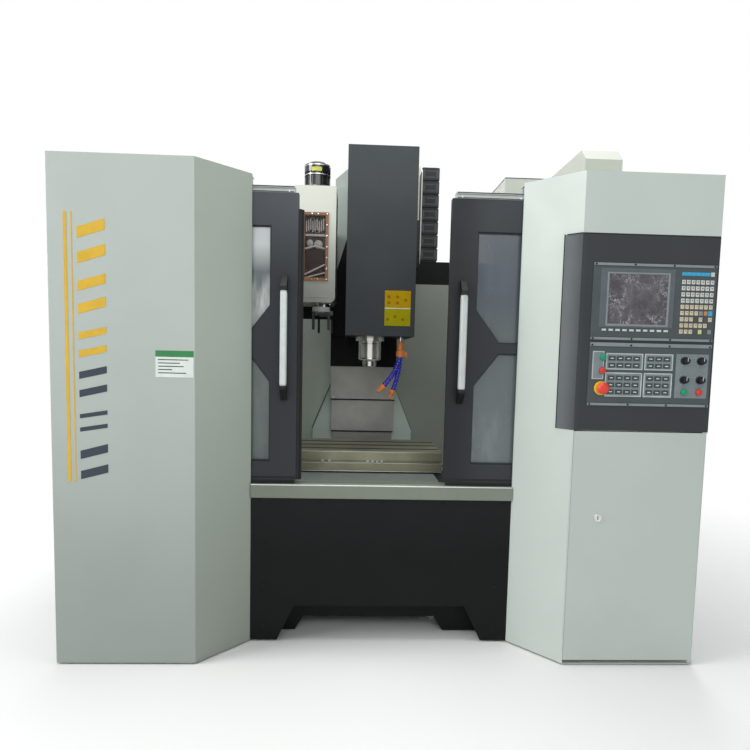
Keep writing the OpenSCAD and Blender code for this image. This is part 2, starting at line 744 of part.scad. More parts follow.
module chain_duct() color("#202224") at_front() difference() {
    union() {
        block(chain_x - chain_w / 2 - duct_fit - sheet, chain_x + chain_w / 2 + duct_fit + sheet,
            duct_y0, duct_y1, duct_z0, duct_z1);
        block(chain_x - chain_w / 2 - 24, cabinet_x0, duct_y0, duct_y1, duct_z1 - trunk_h, duct_z1);
    }
    block(chain_x - chain_w / 2 - duct_fit, chain_x + chain_w / 2 + duct_fit, duct_y0 + sheet, duct_y1 - sheet,
        duct_z0 + sheet, duct_z1 + 1);
    block(chain_x + chain_w / 2 + duct_fit + sheet, cabinet_x0 + 1, duct_y0 + sheet, duct_y1 - sheet,
        duct_z1 - trunk_h + sheet, duct_z1 - sheet);
}

// Guard

// Plan of the left cabinet's folded front: side panel, front, slanting face and door edge
function guard_plan(side_y) = [[-side_x, side_y], [-side_x, 0], [-fold_x, 0], [-mouth_x, mouth_y],
    [-mouth_x, mouth_y + lip_d], [-mouth_x - sheet, mouth_y + lip_d],
    [-mouth_x - sheet, mouth_y + sheet * (1 - sin(fold_a)) / cos(fold_a)],
    [-fold_x - sheet * tan(fold_a / 2), sheet], [-side_x + sheet, sheet], [-side_x + sheet, side_y]];

function roof_plan() = [[-side_x + sheet, sheet], [-fold_x - sheet * tan(fold_a / 2), sheet],
    [-mouth_x - sheet, mouth_y + sheet], [-mouth_x - sheet, door_y + door_t + 14],
    [-side_x + roof_w, door_y + door_t + 14], [-side_x + roof_w, roof_y1], [-side_x + sheet, roof_y1]];

// One cabinet shell, drawn as the left one
module guard_shell() {
    translate([0, 0, floor_gap]) linear_extrude(enclosure_h - floor_gap) polygon(guard_plan(wall_y));
    translate([0, 0, enclosure_h - sheet]) linear_extrude(sheet) polygon(roof_plan());
    top_z = leaf_z1 + slide_h;
    for (y = [door_y - sheet - fit, door_y + door_t + fit])
        block(-side_x + sheet, -mouth_x - sheet - 2, y, y + sheet, top_z - 14, enclosure_h - sheet);
    block(-side_x + sheet, -mouth_x - sheet - 2, door_y - sheet - fit, door_y + door_t + fit + sheet,
        top_z + fit, top_z + fit + sheet);
}

module left_guard() color("#c4cdc9") at_front() guard_shell();

module right_guard() color("#c4cdc9") at_front() {
    difference() {
        mirror([1, 0, 0]) guard_shell();
        block(fold_x + seam, side_x + 1, -1, door_skin + 3, console_z0, console_z1);
        block(fold_x + seam, side_x + 1, -1, door_skin + 3, floor_gap + 2, console_z0);
    }
    hinge_arm(access_z0 - 8, access_z0 - fit);
    hinge_arm(access_z1 + fit, access_z1 + 3);
    rod_z(pivot_pin_r, access_z0 - 4, access_z0 + 20, side_x - pivot_r, pivot_r);
    rod_z(pivot_pin_r, access_z1 - 20, access_z1 + 2, side_x - pivot_r, pivot_r);
    block(fold_x - 3, fold_x + 39, door_skin + 3, door_skin + 3 + sheet, 60, access_z1 - 40);
    block(fold_x - 3, fold_x + 0.5, sheet - 1, door_skin + 3 + sheet, 60, access_z1 - 40);
}

module hinge_arm(z0, z1) {
    block(side_x - 2 * pivot_r, side_x, 0, door_skin + 10, z0, z1);
}

module rear_guard() color("#7f857a") at_front() {
    gap = 3;
    along_y(wall_y, wall_y + sheet) polygon([[-side_x, wall_z0], [axis_x - foot_w - gap, wall_z0],
        [axis_x - foot_w - gap, flare_z0], [axis_x - column_w - gap, flare_z1],
        [axis_x - column_w - gap, wall_left_z], [-side_x, wall_left_z]]);
    along_y(wall_y, wall_y + sheet) polygon([[side_x, wall_z0], [side_x, wall_right_z],
        [axis_x + column_w + gap, wall_right_z], [axis_x + column_w + gap, flare_z1],
        [axis_x + foot_w + gap, flare_z0], [axis_x + foot_w + gap, wall_z0]]);
    block(-side_x, axis_x - column_w - gap, wall_y, wall_y + 20, wall_left_z - sheet, wall_left_z);
    block(-side_x + 40, axis_x - foot_w - 20, wall_y, wall_y + 25, 640, 640 + sheet);
    for (x = [-side_x, side_x - 40])
        block(x, x + 40, wall_y, wall_y + sheet, floor_gap, enclosure_h);
}

// Base

function toe_plan(w0, w1, h, z0) = [[-w0, z0], [-w1, h], [w1, h], [w0, z0]];

module base_apron() color("#222426") at_front() {
    w = mouth_x - seam;
    slant = 66;
    difference() {
        block(-w, w, apron_y, apron_y + sheet, floor_gap, sill_z - sill_h);
        along_y(apron_y - 1, apron_y + sheet + 1)
            polygon(toe_plan(recess_w + slant, recess_w, recess_h, floor_gap - 1));
    }
    difference() {
        along_y(apron_y, apron_y + recess_d)
            polygon(toe_plan(recess_w + slant + sheet, recess_w + sheet, recess_h + sheet, floor_gap));
        along_y(apron_y - 1, apron_y + recess_d + 1)
            polygon(toe_plan(recess_w + slant, recess_w, recess_h, floor_gap - 1));
    }
    difference() {
        along_y(apron_y + recess_d - sheet, apron_y + recess_d)
            polygon(toe_plan(recess_w + slant + 1, recess_w + 1, recess_h + 1, floor_gap));
        along_y(apron_y + recess_d - sheet - 1, apron_y + recess_d + 1) translate([toe_x, 0])
            polygon(toe_plan(toe_w / 2 + 35, toe_w / 2, toe_h, floor_gap - 1));
    }
}

module front_sill() color("#8d948d") at_front() {
    w = mouth_x - seam;
    track_w = 960;
    back = door_y + door_t + 7;
    block(-w, w, sill_y, sill_y + sheet, sill_z - sill_h, sill_z);
    block(-w, w, sill_y, back, sill_z - sheet, sill_z);
    block(-w, w, sill_y, apron_y + 8, sill_z - sill_h, sill_z - sill_h + sheet);
    block(-track_w, track_w, mouth_y + lip_d + 2, back, sill_z - sheet, sill_z);
    block(-track_w, track_w, back - sheet, back, sill_z - sill_h, sill_z);
    block(-track_w, track_w, door_y + door_t / 2 - 2, door_y + door_t / 2 + 2, sill_z - 1, sill_z + 8);
}

module chip_tray() color("#878e84") at_front() {
    y0 = door_y + door_t + 7;
    rise = 0.16;
    in_x = bed_w + 5;
    run = side_x - sheet - in_x;
    z_in = wall_z0;
    for (s = [-1, 1])
        along_y(y0, wall_y) polygon([
            [axis_x + s * in_x, z_in], [s * (side_x - sheet), z_in + rise * run],
            [s * (side_x - sheet), z_in + rise * run - sheet], [axis_x + s * in_x, z_in - sheet]]);
    way_cover(y0, saddle_y0 - 206, way_cover_w - 2 * (plate + cover_gap),
        way_cover_z - 2 * (plate + cover_gap));
}

module coolant_tank() color("#59605c") at_front() {
    x0 = axis_x + foot_x + pad_r + 5;
    difference() {
        block(x0, side_x - 60, tank_y0, tank_y0 + tank_l, tank_z0, tank_z0 + tank_h);
        block(x0 + 4, side_x - 64, tank_y0 + 4, tank_y0 + tank_l - 4, tank_z0 + 4, tank_z0 + tank_h + 1);
    }
    block(x0 + 300, x0 + 304, tank_y0 + 3, tank_y0 + tank_l - 3, tank_z0 + 3, tank_z0 + tank_h * 0.78);
    for (x = [x0 + 60, side_x - 120], y = [tank_y0 + 60, tank_y0 + tank_l - 60]) rod_z(22, 0, tank_z0 + 1, x, y);
}

// Tool changer

module changer_casting() color("#5d6266") at_front() difference() {
    union() {
        block(changer_x0 + sheet + fit, changer_x1 - sheet - fit, changer_y0 + 60, changer_y1 - 2,
            changer_z0 + 30, changer_z1 - sheet - fit);
        block(changer_x0 + sheet + fit + 18, changer_x1 - sheet - fit - 18, changer_y0 + 34, changer_y0 + 61,
            changer_z0 + 60, changer_z1 - 70);
        block(-288, -248, changer_y1 - 3, wall_y - 5, 1430, 1740);
        block(-288, axis_x - column_w, column_y + 10, wall_y - 5, 1430, 1740);
        rod_x(axle_r, disc_x1 - disc_t - 24, changer_x0 + sheet + fit + 1, spindle_y, magazine_z);
    }
    rod_z(sleeve_r + bearing_fit, changer_z0, 1530, arm_x, spindle_y);
    for (z = [1480, 1610])
        block(-289, -247, changer_y1 + 60, column_y - 90, z, z + 90);
}

module changer_outline(inset) {
    r = 26;
    x0 = changer_x0 + inset;
    x1 = changer_x1 - inset;
    z0 = changer_z0 + inset;
    z1 = changer_z1 - inset;
    translate([x0, z0 + r]) square([x1 - x0, z1 - z0 - r]);
    translate([x0 + r, z0]) square([x1 - x0 - 2 * r, r + 1]);
    for (x = [x0 + r, x1 - r]) translate([x, z0 + r]) circle(r);
}

window_x0 = -357;
window_x1 = -238;
window_low = 1418;
window_high = 1718;
window_rim = 13;

module changer_cover() color("#d9dccb") at_front() difference() {
    along_y(changer_y0, changer_y1) changer_outline(0);
    along_y(changer_y0 + sheet, changer_y1 + 1) changer_outline(sheet);
    block(window_x0 + window_rim, window_x1 - window_rim, changer_y0 - 1, changer_y0 + sheet + 1,
        window_low + window_rim, window_high - window_rim);
    rod_z(sleeve_r + 14, changer_z0 - 1, changer_z0 + sheet + 1, arm_x, spindle_y);
    rod_x(axle_r + 3, changer_x0 - 1, changer_x0 + sheet + 1, spindle_y, magazine_z);
}

module changer_window() color("#b5623a") at_front() {
    difference() {
        block(window_x0, window_x1, changer_y0 - 4, changer_y0, window_low, window_high);
        block(window_x0 + window_rim, window_x1 - window_rim, changer_y0 - 5, changer_y0 + 1,
            window_low + window_rim, window_high - window_rim);
    }
    block(window_x0 + window_rim, window_x1 - window_rim, changer_y0 - 3, changer_y0 - 1,
        window_low + window_rim, window_high - window_rim);
}

module changer_motor() color("#303236") at_front()
    translate([changer_motor_x, changer_motor_y, changer_z1]) {
        cylinder(r = changer_motor_r * 0.4, h = 27);
        translate([0, 0, 26]) cylinder(r = changer_motor_r - 6, h = 64);
        for (a = [0 : 30 : 330])
            rotate(a) translate([changer_motor_r - 8, -2, 30]) cube([7, 4, 60]);
        translate([0, 0, 86]) cylinder(r = changer_motor_r, h = 34);
        translate([0, 0, 119]) cylinder(r1 = changer_motor_r, r2 = changer_motor_r - 18, h = 12);
    }

module arm_sleeve() color("silver") at_front() translate([arm_x, spindle_y, arm_z]) difference() {
    cylinder(r = sleeve_r, h = 205);
    translate([0, 0, -1]) cylinder(r = spigot_r + bearing_fit, h = 61);
}

module change_arm() color("#3a3c3e") at_front() translate([arm_x, spindle_y, arm_z]) {
    translate([0, 0, -20]) linear_extrude(20 - cover_gap) difference() {
        union() {
            circle(44);
            for (s = [0, 180]) rotate(s) {
                translate([-26, 0]) square([52, arm_r - 8]);
                translate([0, arm_r]) circle(38);
            }
        }
        for (s = [0, 180]) rotate(s) translate([0, arm_r]) circle(26);
    }
    translate([0, 0, -1]) cylinder(r = spigot_r, h = 21);
    for (s = [0, 180]) rotate(s) translate([0, arm_r, 0]) for (e = [-1, 1]) {
        translate([e * 33 - 5, -16, -96]) cube([10, 32, 77]);
        translate([e * 33 - 5, -16, -96]) cube([10, 32, 14]);
    }
}

module pot_at(i) {
    a = -90 + i * 360 / pot_n;
    translate([0, spindle_y + pot_pitch_r * cos(a), magazine_z + pot_pitch_r * sin(a)]) children();
}

module magazine_disc() color("#6a6f73") at_front() {
    x0 = disc_x1 - disc_t;
    difference() {
        union() {
            rod_x(disc_r, x0, disc_x1, spindle_y, magazine_z);
            rod_x(axle_r + 25, x0 - 22, disc_x1, spindle_y, magazine_z);
        }
        rod_x(axle_r + bearing_fit, x0 - 25, disc_x1 + 1, spindle_y, magazine_z);
        for (i = [0 : 7]) rotate_about(i * 45) rod_x(34, x0 - 1, disc_x1 + 1, spindle_y + 125, magazine_z);
    }
    for (i = [1 : pot_n - 1]) pot_at(i) {
        rod_x(14, pot_x + pot_l / 2 - 6, x0 + 1, 0, 0);
        difference() {
            rod_x(pot_r, pot_x - pot_l / 2, pot_x + pot_l / 2 - 5, 0, 0);
            rod_x(22, pot_x - pot_l / 2 - 1, pot_x + 20, 0, 0);
        }
    }
    for (s = [-1, 1]) difference() {
        block(pot_x - 14, x0 + 1, spindle_y + s * (pot_r + fit + 4) - 4, spindle_y + s * (pot_r + fit + 4) + 4,
            pot_z - 14, pot_z + 14);
        rod_y(6 + bearing_fit, spindle_y - 60, spindle_y + 60, pot_x, pot_z);
    }
}

module rotate_about(a) {
    translate([0, spindle_y, magazine_z]) rotate([a, 0, 0]) translate([0, -spindle_y, -magazine_z]) children();
}

module change_pot() color("#33363a") at_front() difference() {
    union() {
        rod_x(pot_r, pot_x - pot_l / 2, pot_x + pot_l / 2 - 5, spindle_y, pot_z);
        rod_y(6, spindle_y - pot_r - 8, spindle_y + pot_r + 8, pot_x, pot_z);
    }
    rod_x(22, pot_x - pot_l / 2 - 1, pot_x - 12, spindle_y, pot_z);
}

// Doors. A leaf is drawn with its inner edge at x = 0 and the leaf reaching to the left.

function upper_window() = [[-stile, window_z1], [stile - door_w, window_z1],
    [stile - door_w, (brace_z0 + brace_z1 + bar_h) / 2],
    [-stile - brace_reach + bar_h * 0.42, (brace_z0 + brace_z1 + bar_h) / 2], [-stile, brace_z1]];

function lower_window() = [[-stile, window_z0], [-stile, brace_z0],
    [-stile - brace_reach + bar_h * 0.42, (brace_z0 + brace_z1 - bar_h) / 2],
    [stile - door_w, (brace_z0 + brace_z1 - bar_h) / 2], [stile - door_w, window_z0]];

module door_leaf(lip) {
    mid_y = door_y + door_t / 2;
    difference() {
        block(-door_w, 0, door_y, door_y + door_t, leaf_z0, leaf_z1);
        along_y(door_y - 1, door_y + door_t + 1) polygon(upper_window());
        along_y(door_y - 1, door_y + door_t + 1) polygon(lower_window());
    }
    if (lip)
        block(-1, lip_w, door_y + 10, door_y + 14, leaf_z0, leaf_z1 - 56);
    for (x = [-door_w + 40, -100]) difference() {
        block(x, x + 60, mid_y - 9, mid_y + 9, sill_z + 2, leaf_z0 + 1);
        block(x - 1, x + 61, mid_y - 2 - fit, mid_y + 2 + fit, sill_z, sill_z + 8 + fit);
    }
    for (z = [grip_z0 - 54, grip_z1])
        along_x(-handle_inset - grip_w / 2, -handle_inset + grip_w / 2) polygon(z < grip_z0
            ? [[door_y + 1, z], [door_y - 18, z], [door_y - 60, z + 40], [door_y - 60, z + 54], [door_y + 1, z + 54]]
            : [[door_y + 1, z + 54], [door_y - 18, z + 54], [door_y - 60, z + 14], [door_y - 60, z], [door_y + 1, z]]);
}

module door_panes() {
    for (w = [upper_window(), lower_window()])
        along_y(door_y + 14, door_y + 19) polygon(w);
}

// Grip and top slide
module door_trim() {
    translate([-handle_inset, door_y - 43, grip_z0]) linear_extrude(grip_z1 - grip_z0)
        rounded_square(-grip_w / 2, grip_w / 2, -17, 17, 8);
    top = leaf_z1 + slide_h;
    along_x(-door_w, -13) difference() {
        translate([door_y, leaf_z1]) square([door_t, slide_h]);
        translate([door_y - 1, leaf_z1 + slide_h * 0.52]) square([5, 5]);
        translate([door_y + door_t - 4, leaf_z1 + slide_h * 0.52]) square([5, 5]);
        translate([door_y + 12, top - 8]) square([12, 9]);
    }
}

module left_side() at_front() translate([left_edge, 0, 0]) children();
module right_side() at_front() translate([right_edge, 0, 0]) mirror([1, 0, 0]) children();

module left_door() color("#33373a") left_side() door_leaf(true);
module right_door() color("#33373a") right_side() door_leaf(false);
module left_window() color("#c9d6dc") left_side() door_panes();
module right_window() color("#c9d6dc") right_side() door_panes();
module left_door_trim() color("#e4e6e4") left_side() door_trim();
module right_door_trim() color("#e4e6e4") right_side() door_trim();

// Access door under the console

module pivot_leaf(x0, y, z0, z1) {
    difference() {
        union() {
            block(x0, side_x - pivot_r, y, y + door_skin, z0, z1);
            rod_z(pivot_r, z0, z1, side_x - pivot_r, y + pivot_r);
        }
        rod_z(pivot_pin_r + bearing_fit, z0 - 1, z1 + 1, side_x - pivot_r, y + pivot_r);
        block(x0 + 14, side_x - 2 * pivot_r - 14, y + sheet, y + door_skin + 1, z0 + 14, z1 - 14);
    }
}

module access_door() color("#b9c3be") at_front() difference() {
    pivot_leaf(fold_x + seam + 1, 0, access_z0, access_z1);
    rod_y(10 + bearing_fit, -1, sheet + 1, lock_x, lock_z);
}

module door_lock() color("#9aa0a4") at_front() {
    rod_y(14, -3, 0, lock_x, lock_z);
    rod_y(10, -1, door_skin + 9, lock_x, lock_z);
    block(lock_x - 9, lock_x + 9, door_skin + 7, door_skin + 11, lock_z - 58, lock_z + 9);
}

// Electrical cabinet with its duct on the roof

module electrical_cabinet() color("#dfe3de") at_front() {
    pivot_y = cabinet_door_y + pivot_r;
    difference() {
        block(cabinet_x0, side_x, cabinet_y0, cabinet_back, cabinet_z0, cabinet_z1);
        block(cabinet_x0 + sheet, side_x - sheet, cabinet_y0 + sheet, cabinet_back + 1,
            cabinet_z0 + sheet, cabinet_z1 - sheet);
    }
    for (x = [cabinet_x0 + 1, side_x - 23])
        block(x, x + 22, cabinet_back - sheet, cabinet_back, cabinet_z0 + 1, cabinet_z1 - 1);
    block(cabinet_x0 + 30, side_x - 30, cabinet_y0 + 30, cabinet_y0 + 34, cabinet_z0 + 100, cabinet_z1 - 100);
    for (z = [cabinet_z0 + 160, cabinet_z1 - 220], x = [cabinet_x0 + 60, side_x - 80])
        rod_y(10, cabinet_y0 + 1, cabinet_y0 + 31, x, z);
    bay = (side_x - cabinet_x0 - 120) / 3;
    gear_y = cabinet_y0 + 33;
    gear_d = (cabinet_back - cabinet_y0) * 0.4;
    for (i = [0 : 2])
        block(cabinet_x0 + 60 + i * bay, cabinet_x0 + 60 + (i + 0.84) * bay, gear_y, gear_y + gear_d,
            cabinet_z1 - 600, cabinet_z1 - 300);
    block(cabinet_x0 + 60, side_x - 80, gear_y, gear_y + gear_d * 0.44, cabinet_z1 - 920, cabinet_z1 - 800);
    block(cabinet_x0 + 60, cabinet_x0 + 60 + 1.8 * bay, gear_y, gear_y + gear_d * 0.9,
        cabinet_z0 + 220, cabinet_z0 + 440);
    difference() {
        along_x(roof_duct_x0, roof_duct_x0 + roof_duct_w) polygon([[roof_duct_y0, enclosure_h],
            [cabinet_y0 + 1, enclosure_h], [cabinet_y0 + 1, enclosure_h + roof_duct_h],
            [roof_duct_y0 + roof_duct_bevel, enclosure_h + roof_duct_h],
            [roof_duct_y0, enclosure_h + roof_duct_h - roof_duct_bevel]]);
        along_x(roof_duct_x0 + sheet, roof_duct_x0 + roof_duct_w - sheet) polygon([
            [roof_duct_y0 + sheet, enclosure_h - 1], [cabinet_y0, enclosure_h - 1],
            [cabinet_y0, enclosure_h + roof_duct_h - sheet],
            [roof_duct_y0 + roof_duct_bevel + sheet, enclosure_h + roof_duct_h - sheet],
            [roof_duct_y0 + sheet, enclosure_h + roof_duct_h - roof_duct_bevel - sheet]]);
    }
    for (z = [cabinet_z0 + 6, cabinet_z1 - 6 - 5])
        block(side_x - 2 * pivot_r, side_x, cabinet_back - 1, cabinet_door_y + door_skin, z, z + 5);
    for (z = [cabinet_z0 + 10, cabinet_z1 - 30]) rod_z(pivot_pin_r, z, z + 20, side_x - pivot_r, pivot_y);
}

module cabinet_door() color("#dfe3de") at_front() {
    translate([0, 2 * cabinet_door_y + door_skin, 0]) mirror([0, 1, 0])
        pivot_leaf(cabinet_x0, cabinet_door_y, cabinet_z0 + 12, cabinet_z1 - 12);
}

// Console

panel_x1 = panel_x + panel_w;
screen_x0 = 744;
screen_x1 = 949;
screen_z0 = 1217;
screen_z1 = 1387;
left_button_x = 735;
right_button_x = [1025, 1078];
knob_x = [1023, 1080];
knob_z = [1097, 1031];
power_z = [1104, 1058];
estop_z = 997;
button_z = 989;

module console_housing() color("#3c3c40") at_front() {
    difference() {
        union() {
            block(fold_x + seam + 1, side_x, 0, door_skin + 2, console_z0 + seam, console_z1 - seam);
            block(fold_x + 8, side_x - sheet - 4, door_skin + 1, console_d, console_z0 + 4, console_z1 - 4);
        }
        block(fold_x + 12, side_x - sheet - 8, sheet, console_d + 1, console_z0 + 8, console_z1 - 8);
        for (z = [[operator_z0, operator_z1], [display_z0, display_z1]])
            block(panel_x + 8, panel_x1 - 8, -1, sheet + 1, z[0] + 8, z[1] - 8);
    }
    translate([0, 0, console_z0 + seam]) linear_extrude(console_z1 - console_z0 - 2 * seam)
        polygon(wing_plan());
}

function off_face(along, out) = [fold_x - along * cos(fold_a) - out * sin(fold_a),
    along * sin(fold_a) - out * cos(fold_a)];

function wing_plan() = [[fold_x + 4, 0], [fold_x + 4, sheet], [fold_x + seam + 0.4, sheet],
    [fold_x + seam + 0.4, -0.2], off_face(0, 0.2), off_face(console_wing, 0.2), off_face(console_wing, 2.6),
    off_face(0, 2.6)];

module control_panels() color("#737d82") at_front() {
    difference() {
        block(panel_x, panel_x1, -panel_proud, 0, display_z0, display_z1);
        block(screen_x0, screen_x1, -panel_proud - 1, -panel_proud + 2, screen_z0, screen_z1);
    }
    difference() {
        block(panel_x + 10, panel_x1 - 10, -0.5, 60, display_z0 + 10, display_z1 - 10);
        block(panel_x + 13, panel_x1 - 13, 0, 61, display_z0 + 13, display_z1 - 13);
    }
    for (i = [0 : 9])
        block(727 + i * 24, 741 + i * 24, -panel_proud - 1.5, -panel_proud + 1, 1192, 1202);
    for (i = [0 : 6], j = [0 : 8])
        block(997 + i * 16.5, 1009 + i * 16.5, -panel_proud - 1.5, -panel_proud + 1, 1358 - j * 21, 1372 - j * 21);
    difference() {
        union() {
            block(panel_x, panel_x1, -panel_proud, 0, operator_z0, operator_z1);
            block(panel_x + 10, panel_x1 - 10, -0.5, 11, operator_z0 + 10, operator_z1 - 10);
        }
        for (x = knob_x, z = knob_z) rod_y(4 + bearing_fit, -10, 30, x, z);
        for (z = power_z) rod_y(button_r - 2 + bearing_fit, -10, 30, left_button_x, z);
        for (x = right_button_x) rod_y(button_r - 2 + bearing_fit, -10, 30, x, button_z);
        rod_y(9 + bearing_fit, -10, 30, left_button_x, estop_z);
    }
    for (b = [[757, 1069, 4, 2], [892, 1069, 3, 2], [757, 978, 4, 3], [892, 978, 3, 3]], i = [0 : b[2] - 1],
        j = [0 : b[3] - 1])
        block(b[0] + i * 28.5, b[0] + 23 + i * 28.5, -panel_proud - 1.5, -panel_proud + 1,
            b[1] + j * 24, b[1] + 15 + j * 24);
}

module screen_glass() color("#20262e") at_front()
    block(screen_x0 + fit, screen_x1 - fit, -panel_proud, -panel_proud + 2, screen_z0 + fit, screen_z1 - fit);

module push_button(x, z) at_front() {
    rod_y(button_r, -panel_proud - 10, -panel_proud - 5, x, z);
    rod_y(button_r - 2, -panel_proud - 6, 12, x, z);
}

module knob(x, z) at_front() {
    rod_y(knob_r, -panel_proud - 10, -panel_proud - fit, x, z);
    rod_y(knob_r - 3, -panel_proud - 22, -panel_proud - 9, x, z);
    block(x - 2.5, x + 2.5, -panel_proud - 23.5, -panel_proud - 9, z - knob_r + 3, z + knob_r - 1);
    rod_y(4, -panel_proud - 1, 20, x, z);
}

module emergency_stop() color("crimson") at_front() {
    translate([left_button_x, -panel_proud, estop_z]) rotate([90, 0, 0]) rotate_extrude() polygon([[0, -20],
        [9, -20], [9, 12], [estop_r - 5, 14], [estop_r, 19], [estop_r, estop_h - 9], [estop_r - 6, estop_h - 2],
        [0, estop_h]]);
}

module power_on_button() color("green") push_button(left_button_x, power_z[0]);
module power_off_button() color("red") push_button(left_button_x, power_z[1]);
module cycle_start_button() color("green") push_button(right_button_x[0], button_z);
module feed_hold_button() color("red") push_button(right_button_x[1], button_z);
module feed_knob() color("#222222") knob(knob_x[0], knob_z[0]);
module rapid_knob() color("#222222") knob(knob_x[1], knob_z[0]);
module spindle_knob() color("#222222") knob(knob_x[0], knob_z[1]);
module mode_knob() color("#222222") knob(knob_x[1], knob_z[1]);

bed_casting();
levelling_feet();
column_casting();
axis_motors();
left_guard();
right_guard();
rear_guard();
base_apron();
front_sill();
chip_tray();
coolant_tank();
saddle();
y_screw();
way_cover_middle();
table();
trip_dogs();
x_screw();
x_motor();
head_casting();
z_screw();
head_cover();
spindle_cartridge();
spindle();
spindle_motor();
coolant_hoses();
column_cover_upper();
column_cover_middle();
column_cover_lower();
cable_chain();
chain_duct();
changer_casting();
changer_cover();
changer_window();
changer_motor();
arm_sleeve();
change_arm();
magazine_disc();
change_pot();
left_door();
right_door();
left_window();
right_window();
left_door_trim();
right_door_trim();
access_door();
door_lock();
electrical_cabinet();
cabinet_door();
console_housing();
control_panels();
screen_glass();
emergency_stop();
power_on_button();
power_off_button();
cycle_start_button();
feed_hold_button();
feed_knob();
rapid_knob();
spindle_knob();
mode_knob();
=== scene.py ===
"""A vertical machining centre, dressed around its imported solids.

Places are in millimetres in the machine's drawing frame: X to the right, Y back from the front plane of
the side cabinets, Z up from the floor. at() turns them into the part's frame, in metres. Finishes work
in the part's frame.
"""

import math
from functools import partial

import bmesh
import bpy
from mathutils import Matrix, Vector


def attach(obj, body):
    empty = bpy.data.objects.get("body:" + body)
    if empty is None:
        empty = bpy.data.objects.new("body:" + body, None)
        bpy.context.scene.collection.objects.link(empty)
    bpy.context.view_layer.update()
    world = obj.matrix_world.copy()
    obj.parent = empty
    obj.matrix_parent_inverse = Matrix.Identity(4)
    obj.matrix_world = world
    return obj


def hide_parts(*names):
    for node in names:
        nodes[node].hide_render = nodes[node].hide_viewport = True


MM = 0.001
FRONT_Y = -0.915
FRONT, BACK, UP = (0, -1, 0), (0, 1, 0), (0, 0, 1)

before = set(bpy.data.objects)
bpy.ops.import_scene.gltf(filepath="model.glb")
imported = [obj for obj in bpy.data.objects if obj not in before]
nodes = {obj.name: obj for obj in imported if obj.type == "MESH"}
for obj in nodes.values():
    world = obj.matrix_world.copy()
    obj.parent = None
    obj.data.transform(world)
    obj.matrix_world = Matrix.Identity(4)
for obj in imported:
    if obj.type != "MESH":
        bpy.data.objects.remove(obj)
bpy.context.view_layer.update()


def at(x, y, z):
    """A place in the part's frame, in metres, from millimetres in the drawing frame."""
    return Vector((x * MM, y * MM + FRONT_Y, z * MM))


def colour(rgb, factor=1.0):
    """The linear colour of an eight-bit one, scaled by factor."""

    def linear(c):
        c /= 255
        return c / 12.92 if c <= 0.04045 else ((c + 0.055) / 1.055) ** 2.4

    return (*(linear(c) * factor for c in rgb), 1.0)


# Node trees


class Nodes:
    """Builds up one node tree. Its methods return node outputs, but node() returns the node."""

    def __init__(self, tree):
        self.tree = tree

    def feed(self, socket, value):
        """Gives a socket a plain value or another node's output."""
        if isinstance(value, bpy.types.NodeSocket):
            self.tree.links.new(value, socket)
        else:
            socket.default_value = value

    def node(self, kind, inputs=(), **settings):
        """A node with its settings, and its inputs by name or number."""
        made = self.tree.nodes.new("ShaderNode" + kind)
        for key, value in settings.items():
            setattr(made, key, value)
        for key, value in dict(inputs).items():
            self.feed(made.inputs[key], value)
        return made

    def here(self):
        """The place in the part's frame, in metres."""
        return self.node("TexCoord").outputs["Object"]

    def along(self, axis):
        return self.node("SeparateXYZ", {"Vector": self.here()}).outputs[axis]

    def figure(self, operation, *values):
        """One step of arithmetic."""
        return self.node("Math", enumerate(values), operation=operation).outputs[0]

    def noise(self, scale, detail=3.0, stretch=(1, 1, 1), roughness=0.5):
        place = self.node("Mapping", {"Vector": self.here(), "Scale": stretch}).outputs["Vector"]
        inputs = {"Vector": place, "Scale": scale, "Detail": detail, "Roughness": roughness}
        return self.node("TexNoise", inputs).outputs["Fac"]

    def span(self, value, start, end, low=0.0, high=1.0, form="LINEAR"):
        """Runs from low to high as value goes from start to end."""
        inputs = {"Value": value, "From Min": start, "From Max": end, "To Min": low, "To Max": high}
        return self.node("MapRange", inputs, interpolation_type=form).outputs["Result"]

    def mix(self, factor, low, high):
        """Mixes two colours, each a value or another node's output."""
        return self.node("Mix", {0: factor, 6: low, 7: high}, data_type="RGBA").outputs[2]

    def ramp(self, value, low, high, start=0.35, end=0.65):
        """Runs from low to high, two colours or two numbers, as value goes from start to end."""
        if isinstance(low, tuple):
            return self.mix(self.span(value, start, end), low, high)
        return self.span(value, start, end, low, high)

    def beyond(self, axis, limit, step=0.0004):
        """0 up to limit along axis and 1 from a step beyond it."""
        return self.span(self.along(axis), limit, limit + step)

    def seen(self):
        """1 for a ray that shows the backdrop, straight or by way of gloss and glass, and else 0."""
        path = self.node("LightPath").outputs
        direct = self.figure("MAXIMUM", path["Is Camera Ray"], path["Is Glossy Ray"])
        return self.figure("MAXIMUM", direct, path["Is Transmission Ray"])


FINISHES = {}


